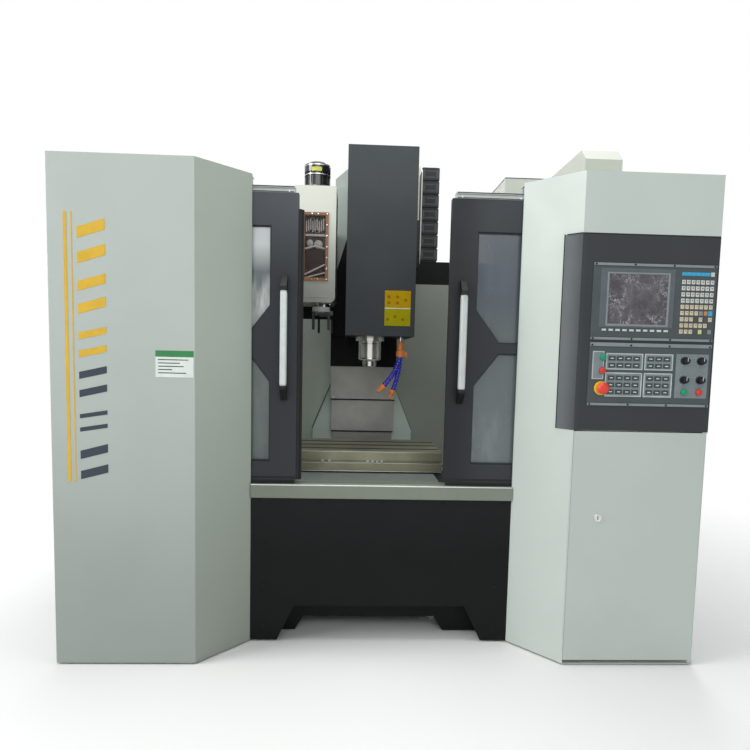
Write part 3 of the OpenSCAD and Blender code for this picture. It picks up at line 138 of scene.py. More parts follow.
class Finish(Nodes):
    """A material around one Principled shader, kept in FINISHES by its name."""

    def __init__(self, name):
        self.material = bpy.data.materials.new(name)
        self.material.use_nodes = True
        super().__init__(self.material.node_tree)
        self.shader = self.tree.nodes["Principled BSDF"]
        FINISHES[name] = self

    @property
    def base(self):
        """The output that feeds the base colour now."""
        return self.shader.inputs["Base Color"].links[0].from_socket

    def set(self, **inputs):
        for key, value in inputs.items():
            self.feed(self.shader.inputs[key.replace("_", " ")], value)
        return self

    def split(self, axis, limit, rgb):
        """Another base colour beyond limit along axis."""
        return self.set(Base_Color=self.mix(self.beyond(axis, limit), self.base, colour(rgb)))

    def painted_light_grade(self, axis, low, high, start, end):
        """Painted light and shade: multiplies the base colour by low up to start and by high from end on."""
        factor = self.span(self.along(axis), start, end, low, high, "SMOOTHSTEP")
        scaled = self.node("VectorMath", {0: self.base, "Scale": factor}, operation="SCALE")
        return self.set(Base_Color=scaled.outputs[0])

    def tint(self, axis, limit, factors):
        """Painted tint of light and shade: multiplies the base colour's three channels by factors beyond
        limit along axis.
        """
        shifted = self.node("VectorMath", {0: self.base, 1: factors}, operation="MULTIPLY").outputs[0]
        return self.set(Base_Color=self.mix(self.beyond(axis, limit), self.base, shifted))

    def relief(self, height, distance, strength, edge):
        """Softened edges under a bump. Distance and edge are in metres."""
        rounded = self.node("Bevel", {"Radius": edge}, samples=4).outputs["Normal"]
        inputs = {"Height": height, "Distance": distance, "Strength": strength, "Normal": rounded}
        return self.set(Normal=self.node("Bump", inputs).outputs["Normal"])

    def see_through(self):
        self.material.surface_render_method = "BLENDED"


def paint(name, rgb, rough=0.42, grain=700, depth=0.00012, mottle=0.05, dirt=0.0, sheen=0.3):
    """Sprayed or powder-coated metal: a fine orange peel, faint cloudiness and, with dirt, dull smears."""
    f = Finish(name)
    base = f.ramp(f.noise(2.2, 4), colour(rgb, 1 - mottle), colour(rgb, 1 + mottle))
    if dirt:
        smear = f.ramp(f.noise(5.0, 6, (1, 1, 0.25), 0.65), 0.0, dirt, 0.5, 0.78)
        base = f.mix(smear, base, colour(rgb, 0.55))
    gloss = f.ramp(f.noise(9, 4), rough - 0.05, rough + 0.07)
    f.set(Base_Color=base, Roughness=gloss, Specular_IOR_Level=sheen)
    return f.relief(f.noise(grain, 2), depth, 0.35, 0.0014)


def metal(name, rgb, rough=0.3, stretch=(1, 1, 1), grain=160, depth=0.00004, stain=0.1):
    """Machined steel or iron: fine tool lines along the least stretched axis, and faint stains."""
    f = Finish(name)
    lines = f.noise(grain, 5, stretch, 0.7)
    base = f.ramp(f.noise(7, 5), colour(rgb, 1 - stain), colour(rgb, 1 + stain * 0.4))
    f.set(Base_Color=base, Roughness=f.ramp(lines, rough - 0.09, rough + 0.12, 0.3, 0.7), Metallic=1.0)
    return f.relief(lines, depth, 0.4, 0.0008)


def plastic(name, rgb, rough=0.4, grain=1500, depth=0.00004, sheen=0.3):
    """Moulded plastic with a fine spark-eroded grain."""
    f = Finish(name)
    base = f.ramp(f.noise(30, 3), colour(rgb, 0.95), colour(rgb, 1.05))
    gloss = f.ramp(f.noise(60, 3), rough - 0.05, rough + 0.06)
    f.set(Base_Color=base, Roughness=gloss, Specular_IOR_Level=sheen)
    return f.relief(f.noise(grain, 2), depth, 0.3, 0.0006)


GUARD = (190, 199, 193)
CREAM = (214, 217, 206)
BLACK = (22, 23, 25)
DOOR = (54, 57, 61)
DOOR_SKIN_Y = FRONT_Y + 0.184

paint("guard_paint", GUARD, mottle=0.03)
# Painted shade: the left cabinet darkens towards the bottom, and its slanting face beyond the fold is painted
# darker and yellower.
left_cabinet = paint("guard_left", GUARD, mottle=0.03).painted_light_grade("Z", 0.62, 0.91, 0.1, 1.25)
left_cabinet.painted_light_grade("X", 1.0, 0.94, -0.653, -0.647).tint("X", -0.65, (1.0, 1.01, 0.94))
# Painted light: the right cabinet is lighter towards the top.
paint("guard_right", GUARD, mottle=0.03).painted_light_grade("Z", 1.0, 1.1, 1.2, 1.66)
# Painted shade: the rear wall is lighter on the left and darker towards the right. The smears are dirt.
paint("rear_paint", (176, 184, 174), 0.5, mottle=0.06, dirt=0.2).painted_light_grade("X", 1.12, 0.7, -0.12, 0.1)
# Painted light and shade: the column's front is lightened low down, where shade falls under the table, while
# its back keeps the colour without painted light. Its top is painted darker.
column = paint("column_paint", (172, 182, 176), grain=260, depth=0.0005, dirt=0.15)
column_base_without_painted_light = column.base
column.painted_light_grade("Z", 1.78, 1.0, 0.72, 0.95)
column.set(Base_Color=column.mix(column.beyond("Y", 0.42, 0.2), column.base, column_base_without_painted_light))
column.painted_light_grade("Z", 1.0, 0.88, 1.3, 1.7)
paint("bed_paint", (110, 118, 116), 0.5, 240, 0.0007, 0.06, 0.3)
paint("tray_paint", (172, 178, 166), dirt=0.25)
paint("sill_paint", (127, 135, 123), 0.38, dirt=0.2)
# Painted shade: the apron is darker towards the bottom. The smears are dirt.
paint("base_paint", (22, 24, 25), 0.5, mottle=0.08, dirt=0.15, sheen=0.16).painted_light_grade("Z", 0.5, 1.0, 0.3, 0.56)
# Painted light and shade: both leaves are lighter towards the top, and the right leaf is darker towards its
# inner edge. The split is the black inside against the door skin's colour.
left_leaf = paint("door_left", BLACK, 0.4, 900, sheen=0.22).split("Y", DOOR_SKIN_Y, DOOR)
left_leaf.painted_light_grade("Z", 1.0, 2.25, 1.35, 1.66)
right_leaf = paint("door_right", BLACK, 0.4, 900, sheen=0.22).split("Y", DOOR_SKIN_Y, DOOR)
right_leaf.painted_light_grade("X", 0.5, 1.0, 0.25, 0.4).painted_light_grade("Z", 1.0, 1.25, 1.4, 1.66)
# Painted light: the head cover is lighter towards the top. The smears are dirt.
head = paint("head_paint", (56, 60, 62), 0.46, 900, 0.0002, dirt=0.06, sheen=0.2)
head.painted_light_grade("Z", 1.0, 1.55, 1.55, 1.97)
paint("slide_paint", (15, 16, 17), 0.5, 250, 0.0006, 0.06, 0.1, sheen=0.15)
paint("black_paint", BLACK, mottle=0.06, sheen=0.2)
# Painted light and shade: the changer cover is lighter towards the top and darker towards the bottom.
paint("changer_paint", CREAM, 0.36, mottle=0.025).painted_light_grade("Z", 0.6, 1.2, 1.3, 1.78)
paint("cabinet_paint", (192, 197, 186), 0.46, mottle=0.03, sheen=0.2)
# Painted light: the console's slanting face is painted much lighter.
console = paint("console_paint", (54, 57, 59), 0.5, 1100, 0.0003, 0.07, sheen=0.25)
console.painted_light_grade("X", 3.1, 1.0, 0.606, 0.668)
paint("tank_paint", (92, 100, 96), 0.5, mottle=0.06, dirt=0.2)
paint("arm_steel", (34, 35, 37), 0.35).split("Z", 1.2722, (150, 152, 152))
paint("magazine_paint", (44, 46, 49)).split("X", -0.4355, (126, 130, 131))
paint("rim_paint", (152, 104, 74), 0.3, mottle=0.45, dirt=0.5)
paint("works_steel", (176, 168, 164), 0.3, mottle=0.25, sheen=0.5)
paint("copper_back", (40, 20, 16), 0.4, mottle=0.4, dirt=0.4, sheen=0.15)
metal("steel", (196, 197, 197))
metal("screw_steel", (188, 189, 190), 0.25, grain=300)
metal("ground_steel", (214, 214, 212), 0.2, (1, 1, 25), 40, stain=0.12)
metal("cartridge_steel", (232, 230, 224), 0.15, (1, 1, 30), 40).set(Metallic=0.72)
# Painted light: the column's covers are lighter low down, where shade falls.
column_cover = metal("cover_steel", (168, 168, 164), 0.5, (1, 1, 18), 60, 0.00006, 0.16)
column_cover.painted_light_grade("Z", 1.18, 0.97, 0.66, 0.9)
metal("way_steel", (186, 188, 180), 0.44, (1, 18, 1), 60, 0.00006, 0.18)
metal("table_iron", (166, 164, 142), 0.46, (0.06, 1, 1), 240, 0.00006, 0.2)
metal("aluminium", (222, 224, 222), 0.34, (0.05, 1, 1), 400, 0.00003, 0.04)
metal("chrome", (210, 211, 212), 0.12, grain=60, depth=0.00001, stain=0.05)
metal("copper_line", (206, 138, 100), 0.28, grain=120)
plastic("slide_skin", (188, 193, 191), 0.42, sheen=0.2)
# Painted light and shade: the grip on the left leaf is lighter and the grip on the right leaf darker.
plastic("grip_skin", (206, 212, 211), 0.34).painted_light_grade("X", 1.16, 0.88, -0.2, 0.1)
plastic("seal_rubber", (30, 30, 32), 0.62, 900, 0.0001)
# Painted shade for the table's slots.
plastic("slot_shade", (70, 70, 62), 0.6, 900, 0.0001, sheen=0.1)
plastic("blue_plastic", (62, 60, 206), 0.16, sheen=0.9)
plastic("orange_plastic", (254, 150, 76), 0.28, sheen=0.5)
plastic("gloss_black", (20, 21, 23), 0.14, sheen=0.75)
plastic("plate_gold", (184, 150, 0), 0.5, sheen=0.1)
plastic("plate_lime", (164, 156, 0), 0.5, sheen=0.1)
plastic("plate_shade", (150, 106, 4), 0.5, sheen=0.1)
for name, rgb, rough in (
    ("panel_skin", (74, 82, 85), 0.42),
    ("duct_skin", (150, 155, 157), 0.5),
    ("knob_plastic", (30, 31, 34), 0.36),
    ("red_plastic", (206, 66, 56), 0.28),
    ("stop_plastic", (222, 72, 56), 0.3),
    ("green_plastic", (32, 148, 112), 0.3),
    ("yellow_plastic", (228, 178, 40), 0.36),
    ("key_amber", (196, 136, 92), 0.4),
    ("pot_plastic", (34, 36, 38), 0.42),
    ("white_mark", (222, 226, 226), 0.4),
    ("bezel_skin", (92, 99, 104), 0.38),
    ("lip_skin", (134, 142, 147), 0.36),
    ("key_white", (206, 208, 202), 0.42),
    ("key_beige", (206, 194, 168), 0.42),
    ("key_cyan", (64, 164, 206), 0.36),
    ("key_lime", (206, 214, 120), 0.4),
    ("key_dark", (50, 56, 58), 0.42),
    ("plate_white", (224, 232, 226), 0.34),
    ("plate_green", (62, 132, 80), 0.34),
    ("gold_ink", (216, 176, 60), 0.4),
    ("wall_seal", (92, 99, 94), 0.55),
    ("pane_edge", (48, 51, 55), 0.5),
    ("drum_label", (206, 212, 96), 0.4),
    ("chain_pad", (66, 68, 70), 0.44),
    ("panel_key", (62, 71, 72), 0.42),
    ("panel_line", (188, 198, 198), 0.42),
    ("panel_field", (128, 139, 143), 0.42),
    ("mark_grey", (120, 125, 122), 0.42),
):
    plastic(name, rgb, rough)


def motif_finish():
    """The ornament's ink: gold in the upper half and slate in the lower."""
    f = plastic("motif_ink", (216, 176, 60), 0.4)
    f.set(Base_Color=f.mix(f.beyond("Z", 1.047), colour((58, 66, 76)), f.base))


def chain_finish():
    """Dark links and bracket, with a cream strip standing beside them."""
    f = paint("chain_plastic", (48, 50, 52), 0.5, 900, sheen=0.2)
    strip = f.figure("SUBTRACT", f.beyond("X", 0.2352), f.beyond("X", 0.2422))
    f.set(Base_Color=f.mix(strip, f.base, colour(CREAM)))


def sheet_finish():
    """A clear sheet with faint wiping marks in its gloss."""
    f = Finish("clear_sheet")
    gloss = f.ramp(f.noise(14, 5, (1, 1, 0.3)), 0.03, 0.13)
    f.set(Base_Color=colour((190, 186, 180)), Alpha=0.04, IOR=1.49, Roughness=gloss).see_through()


def pane_finish():
    """Milky sheets with painted reflections of a bright hall: the left one is painted white above and
    streaked below a dark belt.
    """
    f = Finish("pane")
    reflection_streaks = f.noise(9, 5, (1, 1, 0.16), 0.62)
    clouds = f.noise(3.2, 5, (1, 1, 0.35), 0.6)
    left = f.ramp(clouds, colour((92, 100, 98)), colour((132, 141, 138)), 0.36, 0.66)
    reflection_patch = f.ramp(reflection_streaks, colour((120, 128, 128)), colour((236, 240, 238)), 0.44, 0.6)
    for limit, step, tone in (
        (1.15, 0.05, reflection_patch),
        (1.33, 0.06, colour((120, 129, 131))),
        (1.385, 0.1, colour((234, 239, 239))),
    ):
        left = f.mix(f.beyond("Z", limit, step), left, tone)
    # Painted reflection on the right sheet: darker above, with bright streaks.
    right = f.mix(f.beyond("Z", 1.12, 0.2), colour((112, 121, 122)), colour((92, 100, 109)))
    right = f.mix(f.ramp(reflection_streaks, 0.0, 0.35, 0.56, 0.72), right, colour((176, 182, 182)))
    milk = f.ramp(f.noise(2.6, 4, (1, 1, 0.4)), 0.8, 0.9)
    gloss = f.ramp(f.noise(22, 5, (1, 1, 0.2)), 0.1, 0.3)
    base = f.mix(f.beyond("X", -0.1), left, right)
    f.set(Base_Color=base, Alpha=milk, Roughness=gloss, IOR=1.49).see_through()


def screen_finish():
    """A dark screen: mottled plum-grey, with soft bright smears that are painted reflections of a lit room.
    """
    f = Finish("screen_glass")
    mottling = f.noise(16, 6, (1, 1, 1), 0.7)
    base = f.ramp(mottling, colour((62, 59, 66)), colour((98, 94, 100)), 0.35, 0.68)
    # Painted reflections: soft bright smears along thin lines of noise.
    for scale, stretch, width in ((26, (1, 1, 0.5), 0.012), (34, (0.5, 1, 1), 0.009)):
        reflection_crease = f.figure("COMPARE", f.noise(scale, 4, stretch, 0.6), 0.5, width)
        shown = f.figure("MULTIPLY", reflection_crease, f.ramp(f.noise(12, 3), 0.05, 0.6, 0.46, 0.62))
        base = f.mix(shown, base, colour((196, 196, 200)))
    f.set(Base_Color=base, Roughness=f.ramp(f.noise(40, 4), 0.14, 0.3))


motif_finish()
chain_finish()
sheet_finish()
pane_finish()
screen_finish()

for finish, dressed in {
    "bed_paint": "bed_casting saddle changer_casting",
    "steel": "levelling_feet trip_dogs",
    "column_paint": "column_casting",
    "black_paint": "axis_motors x_motor spindle_motor",
    "guard_left": "left_guard",
    "guard_right": "right_guard",
    "guard_paint": "access_door",
    "rear_paint": "rear_guard",
    "base_paint": "base_apron",
    "sill_paint": "front_sill",
    "tray_paint": "chip_tray",
    "tank_paint": "coolant_tank",
    "screw_steel": "y_screw x_screw z_screw",
    "way_steel": "way_cover_middle",
    "table_iron": "table",
    "slide_paint": "head_casting chain_duct",
    "head_paint": "head_cover",
    "cartridge_steel": "spindle_cartridge",
    "ground_steel": "spindle arm_sleeve",
    "cover_steel": "column_cover_upper column_cover_middle column_cover_lower",
    "chain_plastic": "cable_chain",
    "changer_paint": "changer_cover",
    "rim_paint": "changer_window",
    "gloss_black": "changer_motor",
    "arm_steel": "change_arm",
    "magazine_paint": "magazine_disc",
    "pot_plastic": "change_pot",
    "door_left": "left_door",
    "door_right": "right_door",
    "pane": "left_window right_window",
    "slide_skin": "left_door_trim right_door_trim",
    "chrome": "door_lock",
    "cabinet_paint": "electrical_cabinet cabinet_door",
    "console_paint": "console_housing",
    "panel_skin": "control_panels",
    "screen_glass": "screen_glass",
    "stop_plastic": "emergency_stop",
    "green_plastic": "power_on_button cycle_start_button",
    "red_plastic": "power_off_button feed_hold_button",
    "knob_plastic": "feed_knob rapid_knob spindle_knob mode_knob",
}.items():
    for name in dressed.split():
        for slot in nodes[name].material_slots:
            slot.material = FINISHES[finish].material


# Mesh forms


def turn(count, start=0.0):
    """The angles of a full turn in count steps, in radians."""
    return [start + 2 * math.pi * i / count for i in range(count)]


class Shape:
    """A mesh built up from plain forms, in millimetres of the drawing frame."""

    def __init__(self):
        self.bm = bmesh.new()

    def face(self, verts):
        """A face, unless the same corners have one."""
        try:
            self.bm.faces.new(verts)
        except ValueError:
            pass

    def prism(self, outline, axis, low, high):
        """An outline across axis, carried along it: X takes (y, z), Y takes (x, z), Z takes (x, y)."""
        k = "XYZ".index(axis)
        ends = [[self.bm.verts.new((*p[:k], t, *p[k:])) for p in outline] for t in (low, high)]
        self.face(ends[0])
        self.face(ends[1][::-1])
        for i in range(len(outline)):
            j = (i + 1) % len(outline)
            self.face([ends[0][i], ends[1][i], ends[1][j], ends[0][j]])
        return self

    def box(self, x0, x1, y0, y1, z0, z1):
        x0, x1 = sorted((x0, x1))
        return self.prism([(x0, y0), (x1, y0), (x1, y1), (x0, y1)], "Z", z0, z1)

    def skin(self, rings):
        """Walls from ring to ring of points, where a ring may be a single point, and flat ends."""
        for low, high in zip(rings, rings[1:]):
            steps = max(len(low), len(high))
            for i in range(steps if steps > 1 else 0):
                j = (i + 1) % steps
                if len(low) == 1:
                    self.face([low[0], high[j], high[i]])
                elif len(high) == 1:
                    self.face([low[i], low[j], high[0]])
                else:
                    self.face([low[i], low[j], high[j], high[i]])
        for ring, way in ((rings[0], -1), (rings[-1], 1)):
            if len(ring) > 1:
                self.face(ring[::way])
        return self

    def turned(self, profile, origin, direction=UP, steps=32):
        """A profile of (radius, height) pairs turned about direction through origin."""
        way = Vector(direction).normalized().to_track_quat("Z", "Y").to_matrix()
        origin = Vector(origin)
        rings = []
        for radius, height in profile:
            points = [(0, 0, height)]
            if radius > 0:
                points = [(radius * math.cos(a), radius * math.sin(a), height) for a in turn(steps)]
            rings.append([self.bm.verts.new(origin + way @ Vector(p)) for p in points])
        return self.skin(rings)

    def disc(self, radius, height, origin, direction=UP, steps=32, low=0):
        return self.turned([(0, low), (radius, low), (radius, height), (0, height)], origin, direction, steps)

    def tube(self, path, radius, steps=14):
        """A round rod along a path of points, with flat ends."""
        path = [Vector(p) for p in path]
        rings = []
        side = None
        for i, p in enumerate(path):
            ahead = (path[min(i + 1, len(path) - 1)] - path[max(i - 1, 0)]).normalized()
            if side is None:
                side = ahead.orthogonal().normalized()
            side = (side - ahead * side.dot(ahead)).normalized()
            up = ahead.cross(side)
            points = [p + radius * (side * math.cos(a) + up * math.sin(a)) for a in turn(steps)]
            rings.append([self.bm.verts.new(q) for q in points])
        return self.skin(rings)

    def screw(self, place, direction, radius, height):
        """A socket screw's head standing on a face."""
        profile = [(0, 0), (1, 0), (1, 0.75), (0.86, 1), (0.5, 1), (0.45, 0.45), (0, 0.45)]
        return self.turned([(r * radius, h * height) for r, h in profile], place, direction, 18)

    def screws(self, start, end, count, direction, radius=4.5, height=2.6):
        """A row of screws from start to end."""
        for i in range(count):
            t = i / (count - 1)
            self.screw([a + (b - a) * t for a, b in zip(start, end)], direction, radius, height)
        return self


def add(name, shape, finish, slot, bevel=0.0, segments=2, body="machine"):
    """Puts a shape in the scene as a piece that rides on a body."""
    bmesh.ops.remove_doubles(shape.bm, verts=shape.bm.verts, dist=1e-4)
    bmesh.ops.recalc_face_normals(shape.bm, faces=shape.bm.faces)
    for v in shape.bm.verts:
        v.co = at(*v.co)
    mesh = bpy.data.meshes.new(name)
    shape.bm.to_mesh(mesh)
    shape.bm.free()
    mesh.shade_smooth()
    mesh.set_sharp_from_angle(angle=math.radians(32))
    mesh.materials.append(FINISHES[finish].material)
    piece = bpy.data.objects.new(name, mesh)
    bpy.context.scene.collection.objects.link(piece)
    if bevel:
        rounding = piece.modifiers.new("edges", "BEVEL")
        rounding.width = bevel * MM
        rounding.segments = segments
        rounding.limit_method = "ANGLE"
        rounding.angle_limit = math.radians(40)
    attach(piece, body)
    return piece


on_head = partial(add, body="head")
on_cabinet_door = partial(add, body="cabinet_door")


def add_plastic(name, shape, finish, *edges):
    add(name, shape, finish, "panel_plastic", *edges)


def boxes(*rows):
    """A shape of boxes, each (x0, x1, y0, y1, z0, z1)."""
    shape = Shape()
    for row in rows:
        shape.box(*row)
    return shape


def offset(outline, distance):
    """The outline moved inwards by distance, its corners mitred. The outline runs counter-clockwise."""
    moved = []
    count = len(outline)
    for i in range(count):
        a, b, c = (Vector(outline[(i + k) % count]) for k in (-1, 0, 1))
        d1, d2 = (b - a).normalized(), (c - b).normalized()
        n1, n2 = Vector((-d1.y, d1.x)), Vector((-d2.y, d2.x))
        mitre = (n1 + n2).normalized()
        moved.append(tuple(b + mitre * distance / max(mitre.dot(n1), 0.3)))
    return moved


def band(shape, outline, inner, y0, y1):
    """A flat frame between two outlines of the same corner count, upright in X and Z."""
    count = len(outline)
    for i in range(count):
        j = (i + 1) % count
        shape.prism([outline[i], outline[j], inner[j], inner[i]], "Y", y0, y1)
    return shape


def rectangle(x0, x1, z0, z1, inset=0):
    """Four corners, counter-clockwise."""
    x0, x1, z0, z1 = x0 + inset, x1 - inset, z0 + inset, z1 - inset
    return [(x0, z0), (x1, z0), (x1, z1), (x0, z1)]


def softened(path, rounds=3):
    """The path with its corners cut again and again, so that a tube along it bends smoothly."""
    path = [Vector(p) for p in path]
    for _ in range(rounds):
        cut = [path[0]]
        for a, b in zip(path, path[1:]):
            cut += [a.lerp(b, 0.25), a.lerp(b, 0.75)]
        path = cut + [path[-1]]
    return path


def upright_ring(centre, across, radius, count):
    """A closed path round centre, in the plane of across and Z."""
    angles = turn(count) + [2 * math.pi]
    centre, across = Vector(centre), Vector(across)
    return [centre + radius * (across * math.cos(a) + Vector(UP) * math.sin(a)) for a in angles]


# Camera: fitted to the photograph, whose frame is square and whose axis meets it below the middle

CAMERA_AT = (-125.3, -2036.2, 1095.1)
YAW, PITCH, ROLL = 0.0409, 0.0848, 0.0228
FOCAL_SHARE = 600 / 750
AXIS_BELOW_MIDDLE = (405.39 - 375) / 750
SENSOR = 36


def add_camera():
    """YAW, PITCH and ROLL are in radians, and FOCAL_SHARE is a share of the picture's width."""
    ahead = Vector((math.sin(YAW) * math.cos(PITCH), math.cos(YAW) * math.cos(PITCH), -math.sin(PITCH)))
    right = Vector((math.cos(YAW), -math.sin(YAW), 0))
    up = right.cross(ahead)
    turned_right = math.cos(ROLL) * right + math.sin(ROLL) * up
    turned_up = math.cos(ROLL) * up - math.sin(ROLL) * right
    data = bpy.data.cameras.new("camera")
    data.sensor_width = SENSOR
    data.lens = SENSOR * FOCAL_SHARE
    data.shift_y = AXIS_BELOW_MIDDLE
    data.clip_start = 0.05
    data.clip_end = 60
    camera = bpy.data.objects.new("camera", data)
    axes = Matrix((turned_right, turned_up, -ahead)).transposed()
    camera.matrix_world = Matrix.Translation(at(*CAMERA_AT)) @ axes.to_4x4()
    bpy.context.scene.collection.objects.link(camera)
    bpy.context.scene.camera = camera


# Floor, world and lamps

FADE_START, FADE_END, FLOOR_REACH = 1.5, 3.2, 14


def add_floor():
    """A pale floor that keeps the machine's shadow and fades into the white of the backdrop."""
    f = Finish("floor_paint").set(Base_Color=(0.86, 0.86, 0.86, 1), Roughness=0.6)
    distance = f.node("VectorMath", {0: f.here()}, operation="LENGTH").outputs["Value"]
    fade = f.span(distance, FADE_START, FADE_END, form="SMOOTHSTEP")
    factor = f.figure("MULTIPLY", fade, f.seen())
    white = f.node("Emission").outputs[0]
    blend = f.node("MixShader", {"Fac": factor, 1: f.shader.outputs[0], 2: white})
    f.feed(f.tree.nodes["Material Output"].inputs["Surface"], blend.outputs[0])
    mesh = bpy.data.meshes.new("floor")
    r = FLOOR_REACH
    mesh.from_pydata([(-r, -r, 0), (r, -r, 0), (r, r, 0), (-r, r, 0)], [], [(0, 1, 2, 3)])
    mesh.materials.append(f.material)
    floor = bpy.data.objects.new("floor", mesh)
    bpy.context.scene.collection.objects.link(floor)


def add_world(light):
    """A white backdrop that lights the machine less than it shows."""
    world = bpy.data.worlds.new("studio")
    bpy.context.scene.world = world
    world.use_nodes = True
    world.node_tree.nodes.clear()
    w = Nodes(world.node_tree)
    shown = w.node("Background", {"Color": (1, 1, 1, 1)}).outputs[0]
    lit = w.node("Background", {"Color": (0.96, 0.98, 1.0, 1), "Strength": light}).outputs[0]
    mixed = w.node("MixShader", {"Fac": w.seen(), 1: lit, 2: shown})
    w.node("OutputWorld", {"Surface": mixed.outputs[0]})


def add_lamp(name, place, target, size, power, tint=(1, 1, 1)):
    """A soft lamp, in metres and watts."""
    data = bpy.data.lights.new(name, "AREA")
    data.shape = "RECTANGLE"
    data.size, data.size_y = size
    data.energy = power
    data.color = tint
    lamp = bpy.data.objects.new(name, data)
    lamp.location = place
    lamp.rotation_euler = (Vector(target) - Vector(place)).to_track_quat("-Z", "Y").to_euler()
    bpy.context.scene.collection.objects.link(lamp)


add_camera()
add_floor()
add_world(0.36)
add_lamp("key", (-5.0, -2.4, 3.3), (0.4, -0.7, 1.1), (2.4, 2.4), 190, (1.0, 1.0, 0.98))
add_lamp("front", (0.2, -5.6, 3.6), (0.1, -0.2, 1.1), (4.0, 2.2), 62, (0.97, 1.0, 0.99))
add_lamp("top", (-0.1, -0.3, 4.4), (0, 0, 0), (3.2, 2.6), 120)
add_lamp("back", (1.5, 4.2, 3.2), (0, 0, 1.0), (3.4, 2.4), 110)

bpy.context.scene.view_settings.view_transform = "Standard"


# Left cabinet: two stripes, a column of slanted blocks and a bare plate


def dress_left_cabinet():
    """Plain ornament and a plate with blank bars, on the cabinet's front at y = 0."""
    stripes = boxes((-1073, -1062, -0.5, 0.05, 643, 1537), (-1049, -1044.5, -0.5, 0.05, 643, 1537))
    add("ornament_stripes", stripes, "gold_ink", "guard_paint")
    blocks = Shape()
    left, right = -1030, -939
    for low, high in ((1370, 1518), (1206, 1340), (1062, 1166), (930, 1036), (814, 888), (652, 774)):
        middle = (low + high) / 2
        rise = (high - low) * 0.2
        for z0, z1 in ((low, middle - 8), (middle + 8, high)):
            blocks.prism([(left, z0), (right, z0 + rise), (right, z1), (left, z1 - rise)], "Y", -0.5, 0.05)
    add("ornament_blocks", blocks, "motif_ink", "guard_paint")
    add("plate_left_field", boxes((-779, -653, -0.8, 0.05, 1003, 1071)), "plate_white", "guard_paint")
    add("plate_left_header", boxes((-779, -653, -0.8, 0.05, 1071, 1092)), "plate_green", "guard_paint")
    lengths = enumerate((100, 72, 84, 46, 92))
    bars = boxes(*((-770, -770 + n, -1.0, -0.7, 1060 - i * 11, 1063 - i * 11) for i, n in lengths))
    add("plate_left_bars", bars, "key_dark", "guard_paint")


# Doors. A leaf is drawn with its inner edge at x = 0, reaching away from the middle of the machine.

STILE, LEAF = 97, 500
WAIST = -STILE - 107 + 15.1
WINDOWS = (
    [(-STILE, 1265), (-STILE, 1550), (STILE - LEAF, 1550), (STILE - LEAF, 1144), (WAIST, 1144)],
    [(-STILE, 690), (-STILE, 987), (WAIST, 1108), (STILE - LEAF, 1108), (STILE - LEAF, 690)],
)
GRIP_MIDDLE = -46
GRIP_LOW, GRIP_HIGH = 976, 1314


def dress_door(side, edge, sign):
    """sign is 1 for the left leaf and -1 for the right one, which is its mirror image."""

    def across(x):
        return edge + sign * x

    def bars(*rows):
        return boxes(*((across(x0), across(x1), *rest) for x0, x1, *rest in rows))

    def put(name, shape, finish, slot="door_paint", *edges):
        add(side + name, shape, finish, slot, *edges, body=side + "_door")

    seals, clamps, screws = Shape(), Shape(), Shape()
    for outline in WINDOWS:
        placed = [(across(x), z) for x, z in outline]
        if sum(a[0] * b[1] - b[0] * a[1] for a, b in zip(placed, placed[1:] + placed[:1])) < 0:
            placed.reverse()
        band(seals, placed, offset(placed, 5), 192, 199.5)
        band(clamps, offset(placed, -22), offset(placed, -2), 220.8, 223)
        middle = offset(placed, -12)
        for a, b in zip(middle, middle[1:] + middle[:1]):
            count = max(1, round(math.dist(a, b) / 110))
            for k in range(count):
                t = (k + 0.5) / count
                screws.screw((a[0] + (b[0] - a[0]) * t, 223, a[1] + (b[1] - a[1]) * t), BACK, 4.2, 2.2)
    put("_pane_seals", seals, "pane_edge")
    put("_pane_clamps", clamps, "black_paint")
    rail = bars((4 - LEAF, -17, 184.4, 185.2, 1668, 1671), (4 - LEAF, -17, 184.2, 185.2, 1686.5, 1690))
    put("_rail_edges", rail, "key_dark", "aluminium", 0.3)
    for x in (-34, -250, -466):
        screws.screw((across(x), 185, 1672.5), FRONT, 3.4, 2)
    ends = ((GRIP_LOW - 13, GRIP_LOW), (GRIP_HIGH, GRIP_HIGH + 13))
    caps = bars(*((GRIP_MIDDLE - 12, GRIP_MIDDLE + 12, 123.6, 160.4, z0, z1) for z0, z1 in ends))
    put("_grip_caps", caps, "seal_rubber", "door_paint", 3.5, 3)
    for z in (930, 1361):
        screws.screw((across(GRIP_MIDDLE), 167, z), FRONT, 4.4, 3)
    put("_door_screws", screws, "screw_steel", "aluminium")
    skin = bars((GRIP_MIDDLE - 11.5, GRIP_MIDDLE + 11.5, 124.5, 159.5, GRIP_LOW, GRIP_HIGH))
    put("_grip", skin, "grip_skin", "aluminium", 6.5, 5)
    foot = bars((3 - LEAF, -3, 184.2, 185.1, 626, 634), (6 - LEAF, -6, 185.1, 188.4, 608.6, 627))
    put("_foot_seal", foot, "seal_rubber", "door_paint", 0.3)


def dress_doors():
    dress_door("left", -325, 1)
    dress_door("right", 232, -1)
    seal = boxes((-326, -305.4, 193.5, 199.8, 622, 1611), (-324.6, -314, 184.6, 194, 622, 1611))
    add("closing_seal", seal, "seal_rubber", "door_paint", 1.5, body="left_door")


def dress_front():
    """The sill's edges and the apron's screws."""
    add("sill_edge", boxes((-489, 489, 164.4, 170, 603.5, 607.6)), "aluminium", "tray_paint", 0.8)
    add("sill_lower_edge", boxes((-489, 489, 164.5, 166, 556.4, 559.5)), "sill_paint", "tray_paint", 0.4)
    bolts = Shape()
    upper = [(x, 540) for x in (-455, -230, 0, 230, 455)]
    for x, z in upper + [(x, z) for x in (-440, 440) for z in (60, 220, 380)]:
        bolts.screw((x, 175, z), FRONT, 5.5, 3.2)
    add("apron_screws", bolts, "black_paint", "black_paint")


# Head: plates, spindle details and hoses

DOTS = ((34, 1322), (72, 1322), (72, 1348), (34, 1348), (108, 1335), (30, 1250), (62, 1262), (96, 1250))


